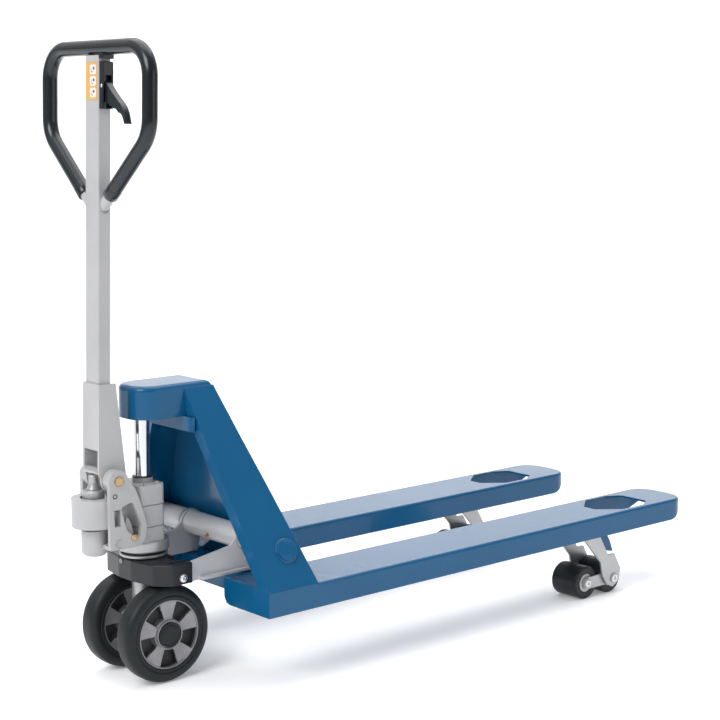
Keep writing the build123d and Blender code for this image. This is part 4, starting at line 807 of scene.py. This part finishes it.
# Sleeve ends and welds where the loop's two legs meet the tube.
leg_length = hypot(1.0, LEG_SLOPE)
sleeve = [(-12.0, 11.1), (-12.6, 12.4), (-12.2, 14.2), (-10.6, 15.3), (3.0, 15.5), (13.0, 15.4), (14.6, 15.1),
          (14.6, 11.1)]
for side, sign in SIDES.items():
    leg = Vector((0, sign / leg_length, LEG_SLOPE / leg_length))
    end = Vector((TUBE_X, sign * 53.0, LEG_FOOT_Z + LEG_SLOPE * 53.0))
    piece("sleeve_end_" + side, turned("sleeve", sleeve, end, leg, 64, lean=True), "handle", "black_plastic")
    at = Vector((TUBE_X, sign * 24.0, LEG_FOOT_Z + LEG_SLOPE * 24.0))
    weld = [at + Vector((11.4 * cos(a), sign * 0.5, 11.4 * leg_length * sin(a)))
            for a in (2 * pi * s / 48 for s in range(48))]
    piece("leg_weld_" + side, bead("weld", weld, 1.5, closed=True, lean=True), "handle", "grey_paint", GREY_BEAD)
    seam = [(TUBE_X - 12.0, sign * 24.6, YOKE_TOP_Z), (TUBE_X + 13.0, sign * 24.6, YOKE_TOP_Z)]
    piece("yoke_weld_" + side, bead("weld", seam, 1.4, lean=True), "handle", "grey_paint", GREY_BEAD)
seam = [(TUBE_REAR_X - 0.6, -22.0, YOKE_TOP_Z), (TUBE_REAR_X - 0.6, 22.0, YOKE_TOP_Z)]
piece("yoke_weld_rear", bead("weld", seam, 1.3, lean=True), "handle", "grey_paint", GREY_BEAD)


# ------------------------------------------------------------------ floor, light and camera

FLOOR_YAW = 0.726
FLOOR_HALF_WIDTH = 14.0
SWEEP_START, SWEEP_RADIUS = 6.0, 3.0


def studio_floor():
    """A pale floor that curves up far behind the truck."""
    points, faces = [], []
    away = Vector((sin(FLOOR_YAW), cos(FLOOR_YAW), 0))
    across = Vector((cos(FLOOR_YAW), -sin(FLOOR_YAW), 0))
    sweep = [(-7.0, 0.0), (SWEEP_START, 0.0)]
    for turn in range(10, 91, 10):
        angle = radians(turn)
        sweep.append((SWEEP_START + SWEEP_RADIUS * sin(angle), SWEEP_RADIUS - SWEEP_RADIUS * cos(angle)))
    sweep.append((SWEEP_START + SWEEP_RADIUS, 9.0))
    for along, height in sweep:
        for width in (-FLOOR_HALF_WIDTH, FLOOR_HALF_WIDTH):
            p = away * along + across * width
            points.append((p.x, p.y, height))
    for i in range(len(sweep) - 1):
        faces.append((2 * i, 2 * i + 1, 2 * i + 3, 2 * i + 2))
    mesh = bpy.data.meshes.new("studio_floor")
    mesh.from_pydata(points, [], faces)
    for face in mesh.polygons:
        face.use_smooth = True
    made = bpy.data.objects.new("studio_floor", mesh)
    bpy.context.scene.collection.objects.link(made)
    paper = bpy.data.materials.new("Pale studio paper")
    paper.use_nodes = True
    tree = paper.node_tree
    shader = tree.nodes["Principled BSDF"]
    tone = mixed(tree, noise(tree, 1.2, 2.0, 0.5), (0.92, 0.92, 0.925), (0.96, 0.96, 0.965))
    tree.links.new(tone, shader.inputs["Base Color"])
    tree.links.new(tone, shader.inputs["Emission Color"])
    shader.inputs["Emission Strength"].default_value = 0.2
    shader.inputs["Roughness"].default_value = 0.85
    mesh.materials.append(paper)


def soft_light(name, power, size, at, aim):
    """A rectangular lamp at one place, aimed at another."""
    light = bpy.data.lights.new(name, "AREA")
    light.energy = power
    light.shape = "RECTANGLE"
    light.size, light.size_y = size
    made = bpy.data.objects.new(name, light)
    bpy.context.scene.collection.objects.link(made)
    made.location = at
    made.rotation_euler = (Vector(aim) - Vector(at)).to_track_quat("-Z", "Y").to_euler()


studio_floor()

# The world is brighter overhead and darker towards the front, so that bright metal has something to reflect.
world = bpy.data.worlds.new("Studio")
world.use_nodes = True
sky = world.node_tree
direction = sky.nodes.new("ShaderNodeTexCoord")
height = sky.nodes.new("ShaderNodeSeparateXYZ")
sky.links.new(direction.outputs["Generated"], height.inputs["Vector"])
upper = spread(sky, height.outputs["Z"], 0.0, 0.7, 0.32, 1.0)
front_shade = spread(sky, height.outputs["Y"], -0.75, -0.1, 0.3, 1.0)
sky.links.new(math(sky, "MULTIPLY", upper, front_shade), sky.nodes["Background"].inputs["Strength"])
sky.nodes["Background"].inputs["Color"].default_value = (0.97, 0.98, 1.0, 1.0)
bpy.context.scene.view_settings.view_transform = "Standard"
bpy.context.scene.world = world
soft_light("key", 140.0, (2.6, 2.2), (-4.2, -1.2, 3.6), (-0.2, 0.0, 0.3))
soft_light("top", 110.0, (5.0, 4.0), (0.4, 0.6, 4.4), (0.0, 0.0, 0.2))
soft_light("back", 170.0, (7.0, 3.0), (2.6, 2.9, 3.6), (4.6, 5.4, 1.2))
soft_light("fill", 26.0, (3.0, 2.0), (1.6, -4.4, 1.6), (0.1, 0.0, 0.3))

CAMERA_AT = place(-1850.1, -2827.1, 1133.7)
CAMERA_YAW, CAMERA_PITCH = 0.72555, -0.13146
lens = bpy.data.cameras.new("Camera")
lens.sensor_width = 36.0
lens.lens = 84.24
lens.shift_x = -0.0352
lens.shift_y = -0.0303
lens.clip_end = 100.0
camera = bpy.data.objects.new("Camera", lens)
bpy.context.scene.collection.objects.link(camera)
level = Vector((sin(CAMERA_YAW), cos(CAMERA_YAW), 0))
ahead = level * cos(CAMERA_PITCH) + Vector((0, 0, sin(CAMERA_PITCH)))
right = Vector((cos(CAMERA_YAW), -sin(CAMERA_YAW), 0))
above = right.cross(ahead)
facing = Matrix((right, above, -ahead)).transposed().to_4x4()
camera.matrix_world = Matrix.Translation(CAMERA_AT) @ facing
bpy.context.scene.camera = camera
